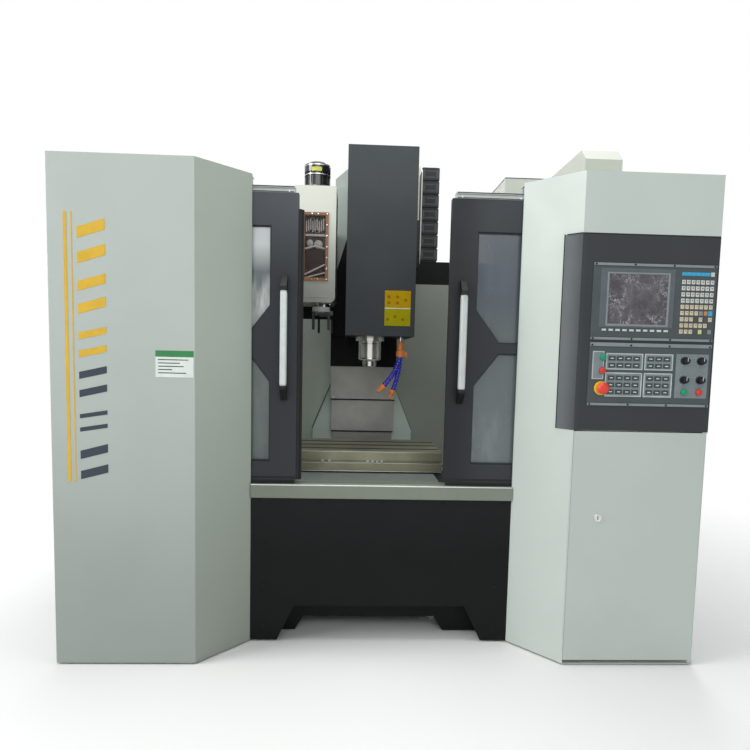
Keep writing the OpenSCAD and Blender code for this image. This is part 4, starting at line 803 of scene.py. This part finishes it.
def dress_head():
    """Two blank plates with dots, the cover's screws and the spindle cartridge's rings."""
    for name, y, z0, z1, finish, bevel in (
        ("upper", 619.2, 1299.5, 1375, "plate_gold", 0.3),
        ("lower", 619.2, 1222, 1297, "plate_lime", 0.3),
        ("line", 619.1, 1296.6, 1299.9, "white_mark", 0),
    ):
        field = boxes((16, 130, y, 620.05, z0, z1))
        on_head("head_plate_" + name, field, finish, "head_paint", bevel)
    signs = Shape()
    for x, z in DOTS:
        signs.disc(7, 0.3, (x, 619.3, z), FRONT, 24)
    on_head("head_plate_shapes", signs, "plate_shade", "head_paint")
    screws = Shape()
    for x, way in ((-155.3, -1), (150, 1)):
        for z in (1240, 1520, 1800, 1950):
            screws.screw((x, 1090, z), (way, 0, 0), 5, 3)
    on_head("head_cover_screws", screws, "screw_steel", "head_paint")
    rings = Shape()
    for z, r in ((1074, 53.0), (1144, 53.2)):
        profile = [(0, -2.5), (r, -2.5), (r + 0.6, -1.5), (r + 0.6, 1.5), (r, 2.5), (0, 2.5)]
        rings.turned(profile, (-40, 810, z), steps=48)
    on_head("cartridge_rings", rings, "chrome", "steel")


def bend(a, b, c, t):
    """The place at t on the curve from a to c that b pulls."""
    a, b, c = Vector(a), Vector(b), Vector(c)
    return (1 - t) ** 2 * a + 2 * t * (1 - t) * b + t * t * c


HOSE_RADIUS, LINK_LENGTH = 11.5, 15.5
LINK = ((0, -0.5), (0.7, -0.5), (1.06, -0.4), (1.12, -0.24), (1.06, -0.06), (0.66, 0.06), (0.66, 0.2))
LINK += ((0.86, 0.34), (0.66, 0.48), (0, 0.52))
NOZZLE = [(0, -4), (13.6, -4), (14.4, 0), (13.6, 10), (11, 14), (8, 36), (5.4, 37), (4.8, 26), (0, 26)]


def dress_hoses():
    """Two hoses of moulded links, each a collar, a waist and a ball, with their valve and nozzles."""
    links, fittings = Shape(), Shape()
    valve = (97, 706)
    cap = [(0, 0), (11, 0), (11, 30), (15, 32), (15, 42), (12, 44), (0, 44)]
    fittings.turned(cap, (*valve, 1112), steps=24)
    fittings.turned([(0, 0), (16, 0), (19, 4), (19, 26), (14, 32), (0, 32)], (*valve, 1086), steps=24)
    fittings.disc(7, 20, (108, 706, 1100), (1, 0, 0), 18)
    fittings.box(121, 127, 699, 713, 1082, 1112)
    link = [(r * HOSE_RADIUS, h * LINK_LENGTH) for r, h in LINK]
    for a, b, c, count in (
        ((97, 706, 1084), (75, 700, 1006), (22, 696, 952), 11),
        ((97, 714, 1084), (94, 716, 1000), (66, 716, 930), 12),
    ):
        for i in range(count):
            t = (i + 0.5) / count
            ahead = bend(a, b, c, min(1, t + 0.02)) - bend(a, b, c, t - 0.02)
            links.turned(link, bend(a, b, c, t), ahead, 20)
        fittings.turned(NOZZLE, c, Vector(c) - bend(a, b, c, 0.96), 28)
    hose = on_head("coolant_hose_links", links, "blue_plastic", "hose_plastic")
    on_head("coolant_hose_fittings", fittings, "orange_plastic", "hose_plastic", 0.8)
    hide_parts("coolant_hoses")
    pipe = Shape().disc(9, 32, (*valve, 1148), steps=20)
    on_head("coolant_inlet", pipe, "chrome", "steel")


# Telescopic covers: a rubber lip along each lower edge and rivets beside the edges

COVER_X = -60


def dress_covers():
    """Lips and rivets of the column's three plates, and lips of the saddle's two."""
    for name, body, half, y, z in (
        ("upper", "head", 176, 1230, 845),
        ("middle", "column_cover_middle", 170, 1240, 670),
        ("lower", "machine", 164, 1250, 470),
    ):
        lip = boxes((COVER_X - half + 1, COVER_X + half - 1, y - 1.6, y + 1.8, z - 1, z + 6))
        add("column_lip_" + name, lip, "seal_rubber", "cover_steel", 0.6, body=body)
        left, right = COVER_X - half + 18, COVER_X + half - 18
        rivets = Shape().screws((left, y, z + 14), (right, y, z + 14), 7, FRONT, 3, 1.6)
        add("column_rivets_" + name, rivets, "screw_steel", "cover_steel", body=body)
    for name, body, half, y, z in (
        ("front", "machine", 307.4, 444, 561.4),
        ("middle", "way_cover_middle", 309.7, 545, 563.7),
    ):
        lip = boxes((COVER_X - half + 1, COVER_X + half - 1, y - 8, y, z - 0.2, z + 1.2))
        add("way_lip_" + name, lip, "seal_rubber", "cover_steel", 0.4, body=body)


def dress_table():
    """Dark strips in the table's slots as painted shade, and bright strips along its front as painted
    highlights of its edges.
    """
    x0, x1, front = -512, 288, 610
    strips = Shape()
    # Painted shade: dark strips fill the slots.
    for y in (700, 810, 920):
        strips.box(x0 + 2, x1 - 2, y - 8.6, y + 8.6, 641, 662)
        strips.box(x0 + 2, x1 - 2, y - 11.5, y + 11.5, 661.8, 662.9)
    add("table_slot_shade", strips, "slot_shade", "ground_iron", 1.2, body="table")
    # Painted highlights: bright strips along the table's front edges.
    edges = Shape()
    for depth, z0, z1 in ((0.5, 609.4, 612), (0.5, 572.4, 575), (0.3, 660.4, 662.1)):
        edges.box(x0 + 1, x1 - 1, front - depth, front + 0.4, z0, z1)
    add("table_edge_highlights", edges, "aluminium", "ground_iron", 0.2, body="table")


# Tool changer

CHANGER_MOTOR = (-298, 830)


def dress_changer_window():
    """Rim, bolts and the clear sheet that stands for the node of the window."""
    x0, x1, z0, z1 = window = -357, -238, 1418, 1718
    places = [(x, z0 + 6.5 + i * (z1 - z0 - 13) / 6) for x in (x0 + 6.5, x1 - 6.5) for i in range(7)]
    places += [(x, z) for x in (x0 + 46, x1 - 46) for z in (z0 + 6.5, z1 - 6.5)]
    bolts = Shape()
    for x, z in places:
        bolts.screw((x, 696, z), FRONT, 3.4, 2.4)
    add("changer_window_bolts", bolts, "chrome", "steel")
    rim = band(Shape(), rectangle(*window), rectangle(*window, 13), 696, 700)
    add("changer_window_rim", rim, "rim_paint", "rim_paint", 0.6)
    sheet = boxes((x0 + 12.5, x1 - 12.5, 697.4, 699, z0 + 12.5, z1 - 12.5))
    pane_piece = add("changer_window_sheet", sheet, "clear_sheet", "rim_paint")
    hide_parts("changer_window")


def dress_changer_works():
    """What shows through the changer's window."""
    # Painted shade: the dark back plate stands for the shade inside the changer.
    add("changer_back_plate", boxes((-344, -251, 728, 733, 1420, 1716)), "copper_back", "rim_paint", 1)
    works = boxes((-343, -252, 714, 720, 1616, 1626))
    works.tube([(-343, 712, 1446), (-252, 712, 1492)], 4.2)
    works.tube([(-343, 712, 1430), (-252, 712, 1456)], 3.4)
    works.tube([(-343, 716, 1560), (-300, 714, 1572), (-252, 716, 1562)], 5)
    for x, z, r in ((-322, 1588, 15), (-284, 1582, 19)):
        wheel = [(0, 0), (r, 0), (r, 5), (r - 5, 7), (r * 0.4, 7), (r * 0.4, 13), (0, 13)]
        works.turned(wheel, (x, 727, z), FRONT, 28)
    for i in range(9):
        pin = [(0, 0), (3.6, 0), (4.4, 12), (3.0, 50), (0, 52)]
        works.turned(pin, (-338 + i * 9.6, 720, 1634 + (i % 3) * 5), steps=12)
    add("changer_works", works, "works_steel", "steel", 0.5)
    cams = boxes(*((-340 + i * 18, -332 + i * 18, 722, 728, 1632, 1700) for i in range(5)))
    cams.box(-344, -251, 722, 728, 1500, 1544)
    cams.prism([(-343, 1500), (-300, 1544), (-252, 1510), (-252, 1440), (-343, 1424)], "Y", 724, 728)
    add("changer_cams", cams, "copper_back", "black_paint", 1)


def dress_changer():
    """The window and what shows in it, the apron below the cover, and the motor's fittings."""
    dress_changer_window()
    dress_changer_works()
    apron = Shape().prism(rectangle(-388, -212, 1262, 1330), "Y", 962, 966)
    apron.box(-388, -212, 962, 974, 1262, 1265)
    add("changer_apron", apron, "slide_paint", "black_paint", 0.6)
    seam = boxes((-386, -209, 698.9, 700.4, 1346, 1348.5))
    add("changer_seam", seam, "cabinet_paint", "changer_paint", 0.3)
    cap = [(0, 0), (38, 0), (40, 2), (38, 6), (30, 8), (12, 9), (0, 9)]
    cap = Shape().turned(cap, (*CHANGER_MOTOR, 1958), steps=40)
    add("changer_motor_cap", cap, "gloss_black", "black_paint")
    rings = Shape()
    for z in (1905, 1946):
        ring = [(0, 0), (60.3, 0), (61, 0.8), (61, 3.2), (60.3, 4), (0, 4)]
        rings.turned(ring, (*CHANGER_MOTOR, z), steps=48)
    add("changer_motor_rings", rings, "chrome", "steel")
    label = Shape()
    x, y = CHANGER_MOTOR
    for k in range(10):
        a, b = (math.radians(-112 + 4.4 * (k + j)) for j in (0, 1))
        corners = rectangle(59.5, 60.8, a, b)
        label.prism([(x + r * math.cos(t), y + r * math.sin(t)) for r, t in corners], "Z", 1918, 1936)
    add("changer_motor_label", label, "drum_label", "black_paint")
    neck = [(0, 0), (32, 0), (32, 5), (25, 6), (25, 25), (0, 25)]
    neck = Shape().turned(neck, (*CHANGER_MOTOR, 1834.2), steps=40)
    add("changer_motor_neck", neck, "aluminium", "steel", 0.5)


def dress_chain():
    """Side pads and hinge pins on each link of the cable chain, and its bracket's lining."""
    pads = Shape()
    for i in range(12):
        z = 1259 + i * 74
        for x in (254, 330):
            pads.box(x, x + 16, 1414.55, 1415.4, z + 12, z + 62)
        for low in (z + 16, z + 50):
            pads.box(274, 326, 1414.6, 1415.4, low, low + 8)
        for x, way in ((250, -1), (350, 1)):
            hinge = [(0, -1), (11, -1), (11, 0.35), (10.8, 0.45), (0, 0.45)]
            pads.turned(hinge, (x, 1450, z + 37), (way, 0, 0), 20)
    on_head("chain_pads", pads, "chain_pad", "chain_plastic")
    lining = boxes((234.4, 236.1, 1299, 1380, 1600, 2086), (197, 236, 1300.2, 1306, 1578, 1661))
    on_head("chain_bracket_lining", lining, "seal_rubber", "chain_plastic", 0.4)


# Console. The panels' face is at y = -3.

COLUMNS = [1003 + i * 16.5 for i in range(7)]
ROWS = [1365 - j * 21 for j in range(9)]
KEY_WIDTH, KEY_HEIGHT = 12.4, 14.4
BEIGE_KEYS = (
    (4, (0, 1, 2, 3, 4, 5, 6)),
    (5, (0, 1, 2, 3)),
    (6, (0, 1, 2, 4, 6)),
    (7, (0, 1, 2, 3, 4, 5)),
    (8, (0, 1, 2)),
)
RAILS = ((1163.5, 8.5), (1414, 8.5), (937.5, 8.5), (1141, 12.5))
FOLD_X, SLANT_END_X, SLANT_DEPTH = 649, 490, 172


def key_caps(name, places, finish, width=KEY_WIDTH, height=KEY_HEIGHT, proud=2.4):
    caps = Shape()
    for x, z in places:
        caps.box(x - width / 2, x + width / 2, -3 - proud, -2.9, z - height / 2, z + height / 2)
    add_plastic(name, caps, finish, 0.7)


def on_slant(start, end, low, high):
    """An outline over the slanting face, from start to end beside its fold and low to high off it."""
    fold = math.atan2(SLANT_DEPTH, FOLD_X - SLANT_END_X)
    across, along = math.cos(fold), math.sin(fold)
    corners = rectangle(start, end, low, high)
    return [(FOLD_X - a * across - out * along, a * along - out * across) for a, out in corners]


def dress_screen():
    """The screen's frame, the panels' rails and the keys beside and below the screen."""
    bezel = band(Shape(), rectangle(716, 973, 1206, 1406), rectangle(741, 952, 1214.5, 1389.5), -3.9, -2.9)
    add_plastic("screen_bezel", bezel, "bezel_skin", 0.6)
    lip = band(Shape(), rectangle(737, 956, 1211, 1393), rectangle(744, 949, 1217, 1387), -4.8, -2.9)
    add_plastic("screen_lip", lip, "lip_skin", 0.8)
    rails = boxes(*((690, 1116, -3.7, -2.9, z, z + height) for z, height in RAILS))
    add_plastic("panel_rails", rails, "lip_skin", 0.3)
    grooves = boxes(*((690, 1116, -3.2, -2.9, z, z + 1.8) for z in (1172.6, 1411.5, 946.6, 1138.5)))
    add_plastic("panel_grooves", grooves, "key_dark")
    screws = Shape()
    for x in (697, 832, 967, 1109):
        for z in (1167.7, 1418.2, 941.7, 1145.2):
            screws.screw((x, -3.7, z), FRONT, 3.2, 1.8)
    add("panel_screws", screws, "black_paint", "black_paint")
    key_caps("soft_keys", [(734 + i * 24, 1197) for i in range(10)], "key_white", 15, 7)
    key_caps("keys_cyan", [(x, 1392) for x in COLUMNS[:6]], "key_cyan", 16, 12, 2)
    white = [(x, z) for z in ROWS[:4] for x in COLUMNS]
    key_caps("keys_white", white + [(COLUMNS[6], 1392)], "key_white")
    beige = [(COLUMNS[i], ROWS[j]) for j, row in BEIGE_KEYS for i in row]
    key_caps("keys_beige", beige, "key_beige")
    key_caps("key_orange", [(COLUMNS[5], 1260)], "key_amber")
    key_caps("key_blue", [(COLUMNS[6], 1260)], "key_cyan", 14, 17)
    key_caps("key_lime", [(COLUMNS[4], 1197)], "key_lime")
    key_caps("keys_grey", [(COLUMNS[4], 1260), (COLUMNS[6], 1197)], "lip_skin")
    marks = boxes(*((x - 2.6, x + 2.6, -5.6, -5.3, z - 1, z + 3) for x, z in white))
    for x, z in beige:
        marks.box(x - 3, x + 3, -5.6, -5.3, z + 1, z + 3)
    add_plastic("key_marks", marks, "mark_grey")


KEY_GROUPS = (
    (757, 1069, 4, 2, (748, 877, 1062, 1118)),
    (892, 1069, 3, 2, (883, 983, 1062, 1118)),
    (757, 978, 4, 3, (748, 877, 969, 1052)),
    (892, 978, 3, 3, (883, 983, 969, 1052)),
)
BUTTONS = (
    ("power_on_button", 735, 1104, "green_plastic"),
    ("power_off_button", 735, 1058, "red_plastic"),
    ("cycle_start_button", 1025, 989, "green_plastic"),
    ("feed_hold_button", 1078, 989, "red_plastic"),
)
KNOBS = (
    ("feed_knob", 1023, 1097),
    ("rapid_knob", 1080, 1097),
    ("spindle_knob", 1023, 1031),
    ("mode_knob", 1080, 1031),
)
STOP = (735, 997)


def dress_key_groups():
    """The operator's panel: fields, outlines and membrane keys with blank bars."""
    outlines, caps, marks = Shape(), Shape(), Shape()
    fields = boxes((994, 1108, -3.25, -2.95, 968, 1120), (703, 739, -3.25, -2.95, 1030, 1122))
    for left, low, columns, rows, (x0, x1, z0, z1) in KEY_GROUPS:
        fields.box(x0 + 3, x1 - 3, -3.25, -2.95, z0 + 3, z1 - 3)
        outer = rectangle(x0, x1, z0, z1)
        band(outlines, outer, offset(outer, 3.6), -3.5, -2.95)
        for i in range(columns):
            for j in range(rows):
                x, z = left + i * 28.5, low + j * 24
                caps.box(x - 0.3, x + 23.3, -5.2, -2.9, z - 0.3, z + 15.3)
                marks.box(x + 6, x + 17, -5.5, -5.1, z + 6, z + 9)
    outer = rectangle(701, 741, 1028, 1124)
    band(outlines, outer, offset(outer, 3), -3.4, -2.95)
    add_plastic("panel_fields", fields, "panel_field")
    add_plastic("panel_outlines", outlines, "panel_line")
    add_plastic("panel_keys", caps, "panel_key", 0.8)
    add_plastic("panel_key_marks", marks, "white_mark")


def dress_knobs():
    """Collars, caps, pointers, ribs and the dots of the dials."""
    collars = Shape()
    for _, x, z, _ in BUTTONS:
        collar = [(9.6, 0), (13.6, 0), (13.6, 2.2), (12.6, 3.0), (11.6, 3.0), (11.6, 1), (9.6, 1)]
        collars.turned(collar, (x, -3, z), FRONT, 36)
    add_plastic("button_collars", collars, "lip_skin")
    x, z = STOP
    base = Shape().turned([(9.6, 0), (24, 0), (24, 2), (21, 4.2), (9.6, 4.2)], (x, -3, z), FRONT, 44)
    base.turned([(9.6, 0), (14, 0), (14, 7), (9.6, 7)], (x, -7, z), FRONT, 32)
    add_plastic("stop_base", base, "yellow_plastic")
    dials = Shape()
    for _, x, z in KNOBS:
        for k in range(11):
            a = math.radians(-150 + k * 30)
            dials.disc(1, 0.4, (x + 19 * math.sin(a), -3.2, z + 19 * math.cos(a)), FRONT, 10)
    add_plastic("dial_marks", dials, "white_mark")
    for body, x, z in KNOBS:
        pointer = boxes((x - 0.9, x + 0.9, -26.9, -26.3, z - 2, z + 11))
        add(body + "_pointer", pointer, "white_mark", "knob_plastic", 0.2, body=body)
        ribs = Shape()
        for a in turn(18):
            rib = [(0, 0), (1.2, 0), (1.2, 9), (0.7, 10), (0, 10)]
            ribs.turned(rib, (x + 10 * math.cos(a), -13.2, z + 10 * math.sin(a)), FRONT, 8)
        add(body + "_ribs", ribs, "knob_plastic", "knob_plastic", body=body)
    for body, x, z, finish in BUTTONS:
        cap = [(0, 0), (10.6, 0), (10.6, 0.8), (9, 2), (5, 2.8), (0, 3)]
        add(body + "_cap", Shape().turned(cap, (x, -12.6, z), FRONT, 36), finish, finish, body=body)


def dress_console():
    """Everything on the panels, and the dark gap and edge around the console."""
    dress_screen()
    dress_key_groups()
    dress_knobs()
    top = 1521.4
    gap = boxes((650, 1124, -0.7, 0.4, 1517.6, top))
    gap.prism(on_slant(-0.5, 58, 0.1, 3.4), "Z", 1517.6, top)
    gap.prism(on_slant(65, 68.5, 0.1, 3.2), "Z", 850, top)
    add("console_gap", gap, "seal_rubber", "black_paint", 0.3)
    edge = Shape().prism(on_slant(57, 65.4, 0.1, 2.8), "Z", 850, 1519)
    add("console_edge", edge, "console_paint", "console_paint", 0.8)


# Sides, roof and back

GUARD_X, ROOF_Z = 1125, 1725
CUP_RIM = ((0, 90, 900, 905), (0, 90, 935, 940), (0, 5, 900, 940), (85, 90, 900, 940))


def louvres(shape, face, sign, y0, y1, heights):
    """Stamped slots on a face across X: each a hood with rounded ends that opens downwards."""
    for z in heights:
        hood = [(face, z + 11), (face + sign * 5, z + 6), (face + sign * 9, z), (face + sign * 9, z - 2)]
        hood += [(face + sign * 7.5, z - 2), (face - sign * 0.1, z + 8)]
        shape.prism(hood, "Y", y0, y1)
        for y, out in ((y0, -1), (y1, 1)):
            end = [(y, z + 11), (y + out * 9, z + 4), (y + out * 9, z - 2), (y, z - 2)]
            shape.prism(end, "X", *sorted((face - sign * 0.1, face + sign * 5)))
    return shape


def dress_side(side, sign):
    """A removable panel, pulls, louvres and screws on the outer face of a cabinet."""
    face = sign * GUARD_X
    finish = "guard_" + side
    plate = face + sign * 2

    def pads(depth, *rows):
        return boxes(*((face - sign * 0.1, face + sign * depth, *row) for row in rows))

    add(side + "_side_panel", pads(2, (330, 1060, 380, 1330)), finish, "guard_paint", 1.2)
    screws = Shape()
    for start, end, count in (
        ((plate, 346, 396), (plate, 1044, 396), 4),
        ((plate, 346, 1314), (plate, 1044, 1314), 4),
        ((plate, 346, 625), (plate, 346, 1085), 3),
        ((plate, 1044, 625), (plate, 1044, 1085), 3),
        ((face, 1375, 60), (face, 1375, 1670), 9),
        ((face, 24, 60), (face, 24, 800), 5),
    ):
        screws.screws(start, end, count, (sign, 0, 0))
    add(side + "_side_screws", screws, "screw_steel", "steel")
    cups = pads(2.6, *((y + 4, y + 86, 904, 936) for y in (450, 850)))
    add(side + "_side_cups", cups, "seal_rubber", "black_paint", 0.4)
    rims = pads(4.4, *((y + y0, y + y1, z0, z1) for y in (450, 850) for y0, y1, z0, z1 in CUP_RIM))
    add(side + "_side_cup_rims", rims, "black_paint", "black_paint", 0.8)
    vents = louvres(Shape(), plate, sign, 560, 830, [460 + i * 26 for i in range(6)])
    add(side + "_side_louvres", vents, finish, "guard_paint", 0.8)


def dress_roofs():
    """Seams and screws on the roof strips, and the roof duct's flanges."""
    seams, screws, flange = Shape(), Shape(), Shape()
    for sign in (-1, 1):
        seams.box(sign * 764, sign * 1121, 699, 702, ROOF_Z - 0.1, ROOF_Z + 0.5)
        screws.screws((sign * 1100, 40, ROOF_Z), (sign * 1100, 1370, ROOF_Z), 8, UP)
        screws.screws((sign * 785, 260, ROOF_Z), (sign * 785, 1370, ROOF_Z), 6, UP)
    add("roof_seams", seams, "seal_rubber", "black_paint")
    top = ROOF_Z + 1.6
    for x0, x1 in ((832, 850.2), (1009.8, 1028)):
        flange.box(x0, x1, 550, 1398, ROOF_Z - 0.1, top)
        x = (x0 + x1) / 2
        screws.screws((x, 590, top), (x, 1370, top), 6, UP, 4, 2.2)
    add("roof_duct_flanges", flange, "guard_paint", "guard_paint", 0.5)
    add("roof_screws", screws, "screw_steel", "steel")


def dress_electrical_cabinet():
    """Louvres, grilles, pull, catches, trim and lifting eyes. The door's face is at y = 1860."""
    heights = [1760 + i * 26 for i in range(9)] + [220 + i * 26 for i in range(7)]
    vents = louvres(Shape(), GUARD_X, 1, 1500, 1740, heights)
    add("cabinet_louvres", vents, "cabinet_paint", "cabinet_paint", 0.8)
    frames, slats, mats = Shape(), Shape(), Shape()
    x0, x1 = 830, 1020
    for z in (1700, 300):
        grille = (x0, x1, z, z + 190)
        band(frames, rectangle(*grille), rectangle(*grille, 16), 1859.9, 1868)
        mats.box(x0 + 14, x1 - 14, 1859.9, 1860.8, z + 14, z + 176)
        for i in range(10):
            low = z + 20 + i * 15.6
            slat = [(1860.6, low), (1866.6, low + 5), (1866.6, low + 6.6), (1860.6, low + 1.6)]
            slats.prism(slat, "X", x0 + 15, x1 - 15)
    on_cabinet_door("cabinet_grille_frames", frames, "black_paint", "black_paint", 1.2)
    on_cabinet_door("cabinet_grille_slats", slats, "black_paint", "black_paint")
    on_cabinet_door("cabinet_grille_mats", mats, "seal_rubber", "black_paint")
    bow = Shape()
    half = [(748, 1858, 1010), (748, 1889, 1010), (748, 1892, 1030)]
    bow.tube(softened(half + [(x, y, 2160 - z) for x, y, z in half[::-1]]), 6, 16)
    for z in (1010, 1150):
        bow.turned([(0, 0), (12, 0), (12, 2.4), (7, 5), (0, 5)], (748, 1859.8, z), BACK, 28)
    on_cabinet_door("cabinet_pull", bow, "chrome", "chrome")
    catches = Shape()
    for z in (180, 720, 1400, 1960):
        catch = [(0, 0), (13, 0), (13, 2), (11, 4), (5, 4), (4.4, 2.6), (0, 2.6)]
        catches.turned(catch, (746, 1859.8, z), BACK, 32)
    on_cabinet_door("cabinet_door_catches", catches, "chrome", "chrome")
    top = Shape()
    for y in (1500, 1800):
        top.screws((745, y, 2100), (1100, y, 2100), 4, UP)
    add("cabinet_roof_screws", top, "screw_steel", "steel")
    trim = boxes((719.5, 1125, 1397, 1399, 2097, 2101.4), (718.6, 720.6, 1397, 1841, 2097, 2101.4))
    add("cabinet_top_trim", trim, "pane_edge", "black_paint", 0.5)
    eyes = Shape()
    for x in (760, 1085):
        eyes.turned([(0, 0), (15, 0), (15, 4), (10, 6), (8, 10), (0, 10)], (x, 1800, 2099.9), UP, 28)
        eyes.tube(upright_ring((x, 1800, 2124), (1, 0, 0), 14, 24), 4, 12)
    add("cabinet_lifting_eyes", eyes, "steel", "steel")


WIRE_DUCTS = (
    (756, 1090, 1840, 1890),
    (756, 1090, 1400, 1450),
    (756, 1090, 1090, 1140),
    (756, 1090, 540, 590),
    (1056, 1090, 590, 1090),
    (1056, 1090, 1140, 1400),
    (1056, 1090, 1450, 1840),
)


def dress_drives():
    """Three drives side by side: front cover, cooling fins, blank fields and terminals."""
    caps, fins, fields, terminals = Shape(), Shape(), Shape(), Shape()
    for x in (780, 875, 970):
        caps.box(x - 0.8, x + 80.6, 1560, 1613, 1499.2, 1800.8)
        for k in range(9):
            fins.box(x + 4 + k * 9, x + 6 + k * 9, 1440, 1552, 1799.8, 1813)
        for z0, z1 in ((1640, 1780), (1515, 1530)):
            fields.box(x + 10, x + 70, 1612.9, 1613.9, z0, z1)
        terminals.box(x + 20, x + 60, 1613.8, 1614.8, 1738, 1762)
        for k in range(6):
            for z in (1546, 1586):
                terminals.box(x + 13 + k * 9.4, x + 20 + k * 9.4, 1612.9, 1621, z, z + 16)
    add_plastic("drive_caps", caps, "panel_skin", 3, 3)
    add("drive_fins", fins, "aluminium", "aluminium")
    add_plastic("drive_fields", fields, "panel_field", 0.4)
    add_plastic("drive_terminals", terminals, "key_dark", 0.6)


def dress_cabinet_inside():
    """Drives, breakers, transformer and wire ducts on the mounting plate behind the rear door."""
    dress_drives()
    breakers, toggles = Shape(), Shape()
    for x in range(783, 1047, 22):
        breakers.box(x, x + 20.6, 1508.4, 1526, 1188, 1292)
        breakers.box(x, x + 20.6, 1525, 1536, 1214, 1266)
        toggles.box(x + 5, x + 15.6, 1535, 1546, 1240, 1252)
    add_plastic("breakers", breakers, "key_white", 1, 2)
    add_plastic("breaker_toggles", toggles, "key_dark", 1)
    coils = boxes((788, 860, 1500, 1616, 312, 428), (870, 942, 1500, 1616, 312, 428))
    plates = Shape()
    for k in range(24):
        for z in (436, 257):
            plates.box(779, 952, 1440 + k * 6.4, 1444 + k * 6.4, z, z + 47)
    add_plastic("transformer_coils", coils, "rim_paint", 12, 4)
    add_plastic("transformer_plates", plates, "key_dark")
    ducts, lids, slots = Shape(), Shape(), Shape()
    for x0, x1, z0, z1 in WIRE_DUCTS:
        ducts.box(x0 + 1, x1 - 1, 1431.8, 1486, z0 + 1, z1 - 1)
        lids.box(x0, x1, 1484, 1492, z0, z1)
        length = max(x1 - x0, z1 - z0)
        for t in range(10, 14 * (length // 14 - 1) + 10, 14):
            if length == x1 - x0:
                slots.box(x0 + t, x0 + t + 8, 1450, 1480, z0 - 0.4, z1 + 0.4)
            else:
                slots.box(x0 - 0.4, x1 + 0.4, 1450, 1480, z0 + t, z0 + t + 8)
    add_plastic("wire_ducts", ducts, "duct_skin")
    add_plastic("wire_duct_slots", slots, "key_dark")
    add_plastic("wire_duct_lids", lids, "duct_skin", 1.5, 2)


def dress_rear_wall():
    """Ribs, screws and the column's seals on the wall, whose back is at y = 1398."""
    ribs = Shape()
    for x, z1 in ((-960, 1255), (-700, 1255), (-440, 1255), (520, 1440)):
        ribs.prism([(x - 24, 1397.9), (x - 17, 1412), (x + 17, 1412), (x + 24, 1397.9)], "Z", 470, z1)
    add("rear_ribs", ribs, "rear_paint", "guard_paint_rear", 1.5)
    screws = Shape()
    for x0, x1, z, count in (
        (-1085, -380, 1282, 6),
        (-1085, -380, 420, 6),
        (260, 690, 420, 4),
        (400, 690, 1480, 4),
    ):
        screws.screws((x0, 1398, z), (x1, 1398, z), count, BACK)
    for x in (-1105, 1105):
        screws.screws((x, 1395, 80), (x, 1395, 1680), 8, FRONT, 4, 2.4)
    add("rear_screws", screws, "screw_steel", "steel")
    seal = Shape()
    for s, top in ((-1, 1297), (1, 1495)):
        line = [(275, 402), (275, 675), (168, 938), (168, top)]
        for (a, low), (b, high) in zip(line, line[1:]):
            corners = ((a, low), (a + 9, low), (b + 9, high), (b, high))
            seal.prism([(COVER_X + s * x, z) for x, z in corners], "Y", 1394, 1400)
    add("rear_wall_seals", seal, "wall_seal", "black_paint")


def dress_column():
    """Lifting eyes, and the oil lines with their manifold."""
    eyes, lines, nuts = Shape(), Shape(), Shape()
    for x in (-130, 10):
        eyes.turned([(0, 0), (22, 0), (22, 6), (15, 9), (12, 14), (0, 14)], (x, 1460, 2084.8), UP, 32)
        eyes.tube(upright_ring((x, 1460, 2116), BACK, 19, 28), 6, 14)
    add("column_lifting_eyes", eyes, "steel", "steel")
    for i, y in enumerate((1570, 1588, 1606, 1624)):
        path = [(-237, y, 1098), (-237, y, 1060), (-234, y, 950), (-342, y, 684), (-342, y, 470 + 12 * i)]
        path.append((-336, y, 452 + 12 * i))
        lines.tube(softened(path), 3, 10)
        nuts.turned([(0, 0), (6, 0), (6, 9), (4.4, 12), (0, 12)], (-237, y, 1097), (0, 0, -1), 6)
    feed = [(-237, 1600, 1122), (-237, 1600, 1300), (-236, 1500, 1420), (-236, 1410, 1470)]
    lines.tube(softened(feed), 4, 10)
    add("oil_lines", lines, "copper_line", "steel")
    add("oil_manifold", boxes((-246, -227.8, 1555, 1645, 1096, 1124)), "aluminium", "aluminium", 1.2)
    add("oil_nuts", nuts, "screw_steel", "steel")


def dress_tank():
    """The tank's lid with its pulls, and the chip screen before it."""
    lid = boxes((301, 1064, 640, 1299, 380, 382.4))
    for y in (700, 960, 1220):
        lid.box(330, 1035, y - 14, y + 14, 382.3, 385)
    add("tank_lid", lid, "tank_paint", "tray_paint", 0.8)
    pulls = Shape()
    for y in (830, 1090):
        path = [(620, 381), (620, 408), (640, 412), (720, 412), (740, 408), (740, 381)]
        pulls.tube(softened([(x, y, z) for x, z in path]), 5, 12)
    add("tank_pulls", pulls, "steel", "steel")
    screen = boxes(*((330 + i * 37, 335 + i * 37, 303.5, 640, 366, 371) for i in range(20)))
    for i in range(9):
        screen.box(303.5, 1061, 320 + i * 38, 324 + i * 38, 361, 366.1)
    add("tank_screen", screen, "steel", "steel")


def dress_lock():
    """The escutcheon and the key slot."""
    ring = [(10, 0), (14.4, 0), (14.4, 1), (13, 3.2), (11, 3.6), (10, 3)]
    ring = Shape().turned(ring, (750, -0.2, 540), FRONT, 40)
    add("lock_ring", ring, "chrome", "chrome", body="access_door")
    add("lock_slot", boxes((748.8, 751.2, -3.5, -2.9, 533, 547)), "seal_rubber", "chrome", body="door_lock")


dress_left_cabinet()
dress_doors()
dress_front()
dress_head()
dress_hoses()
dress_covers()
dress_table()
dress_changer()
dress_chain()
dress_console()
dress_side("left", -1)
dress_side("right", 1)
dress_roofs()
dress_electrical_cabinet()
dress_cabinet_inside()
dress_rear_wall()
dress_column()
dress_tank()
dress_lock()
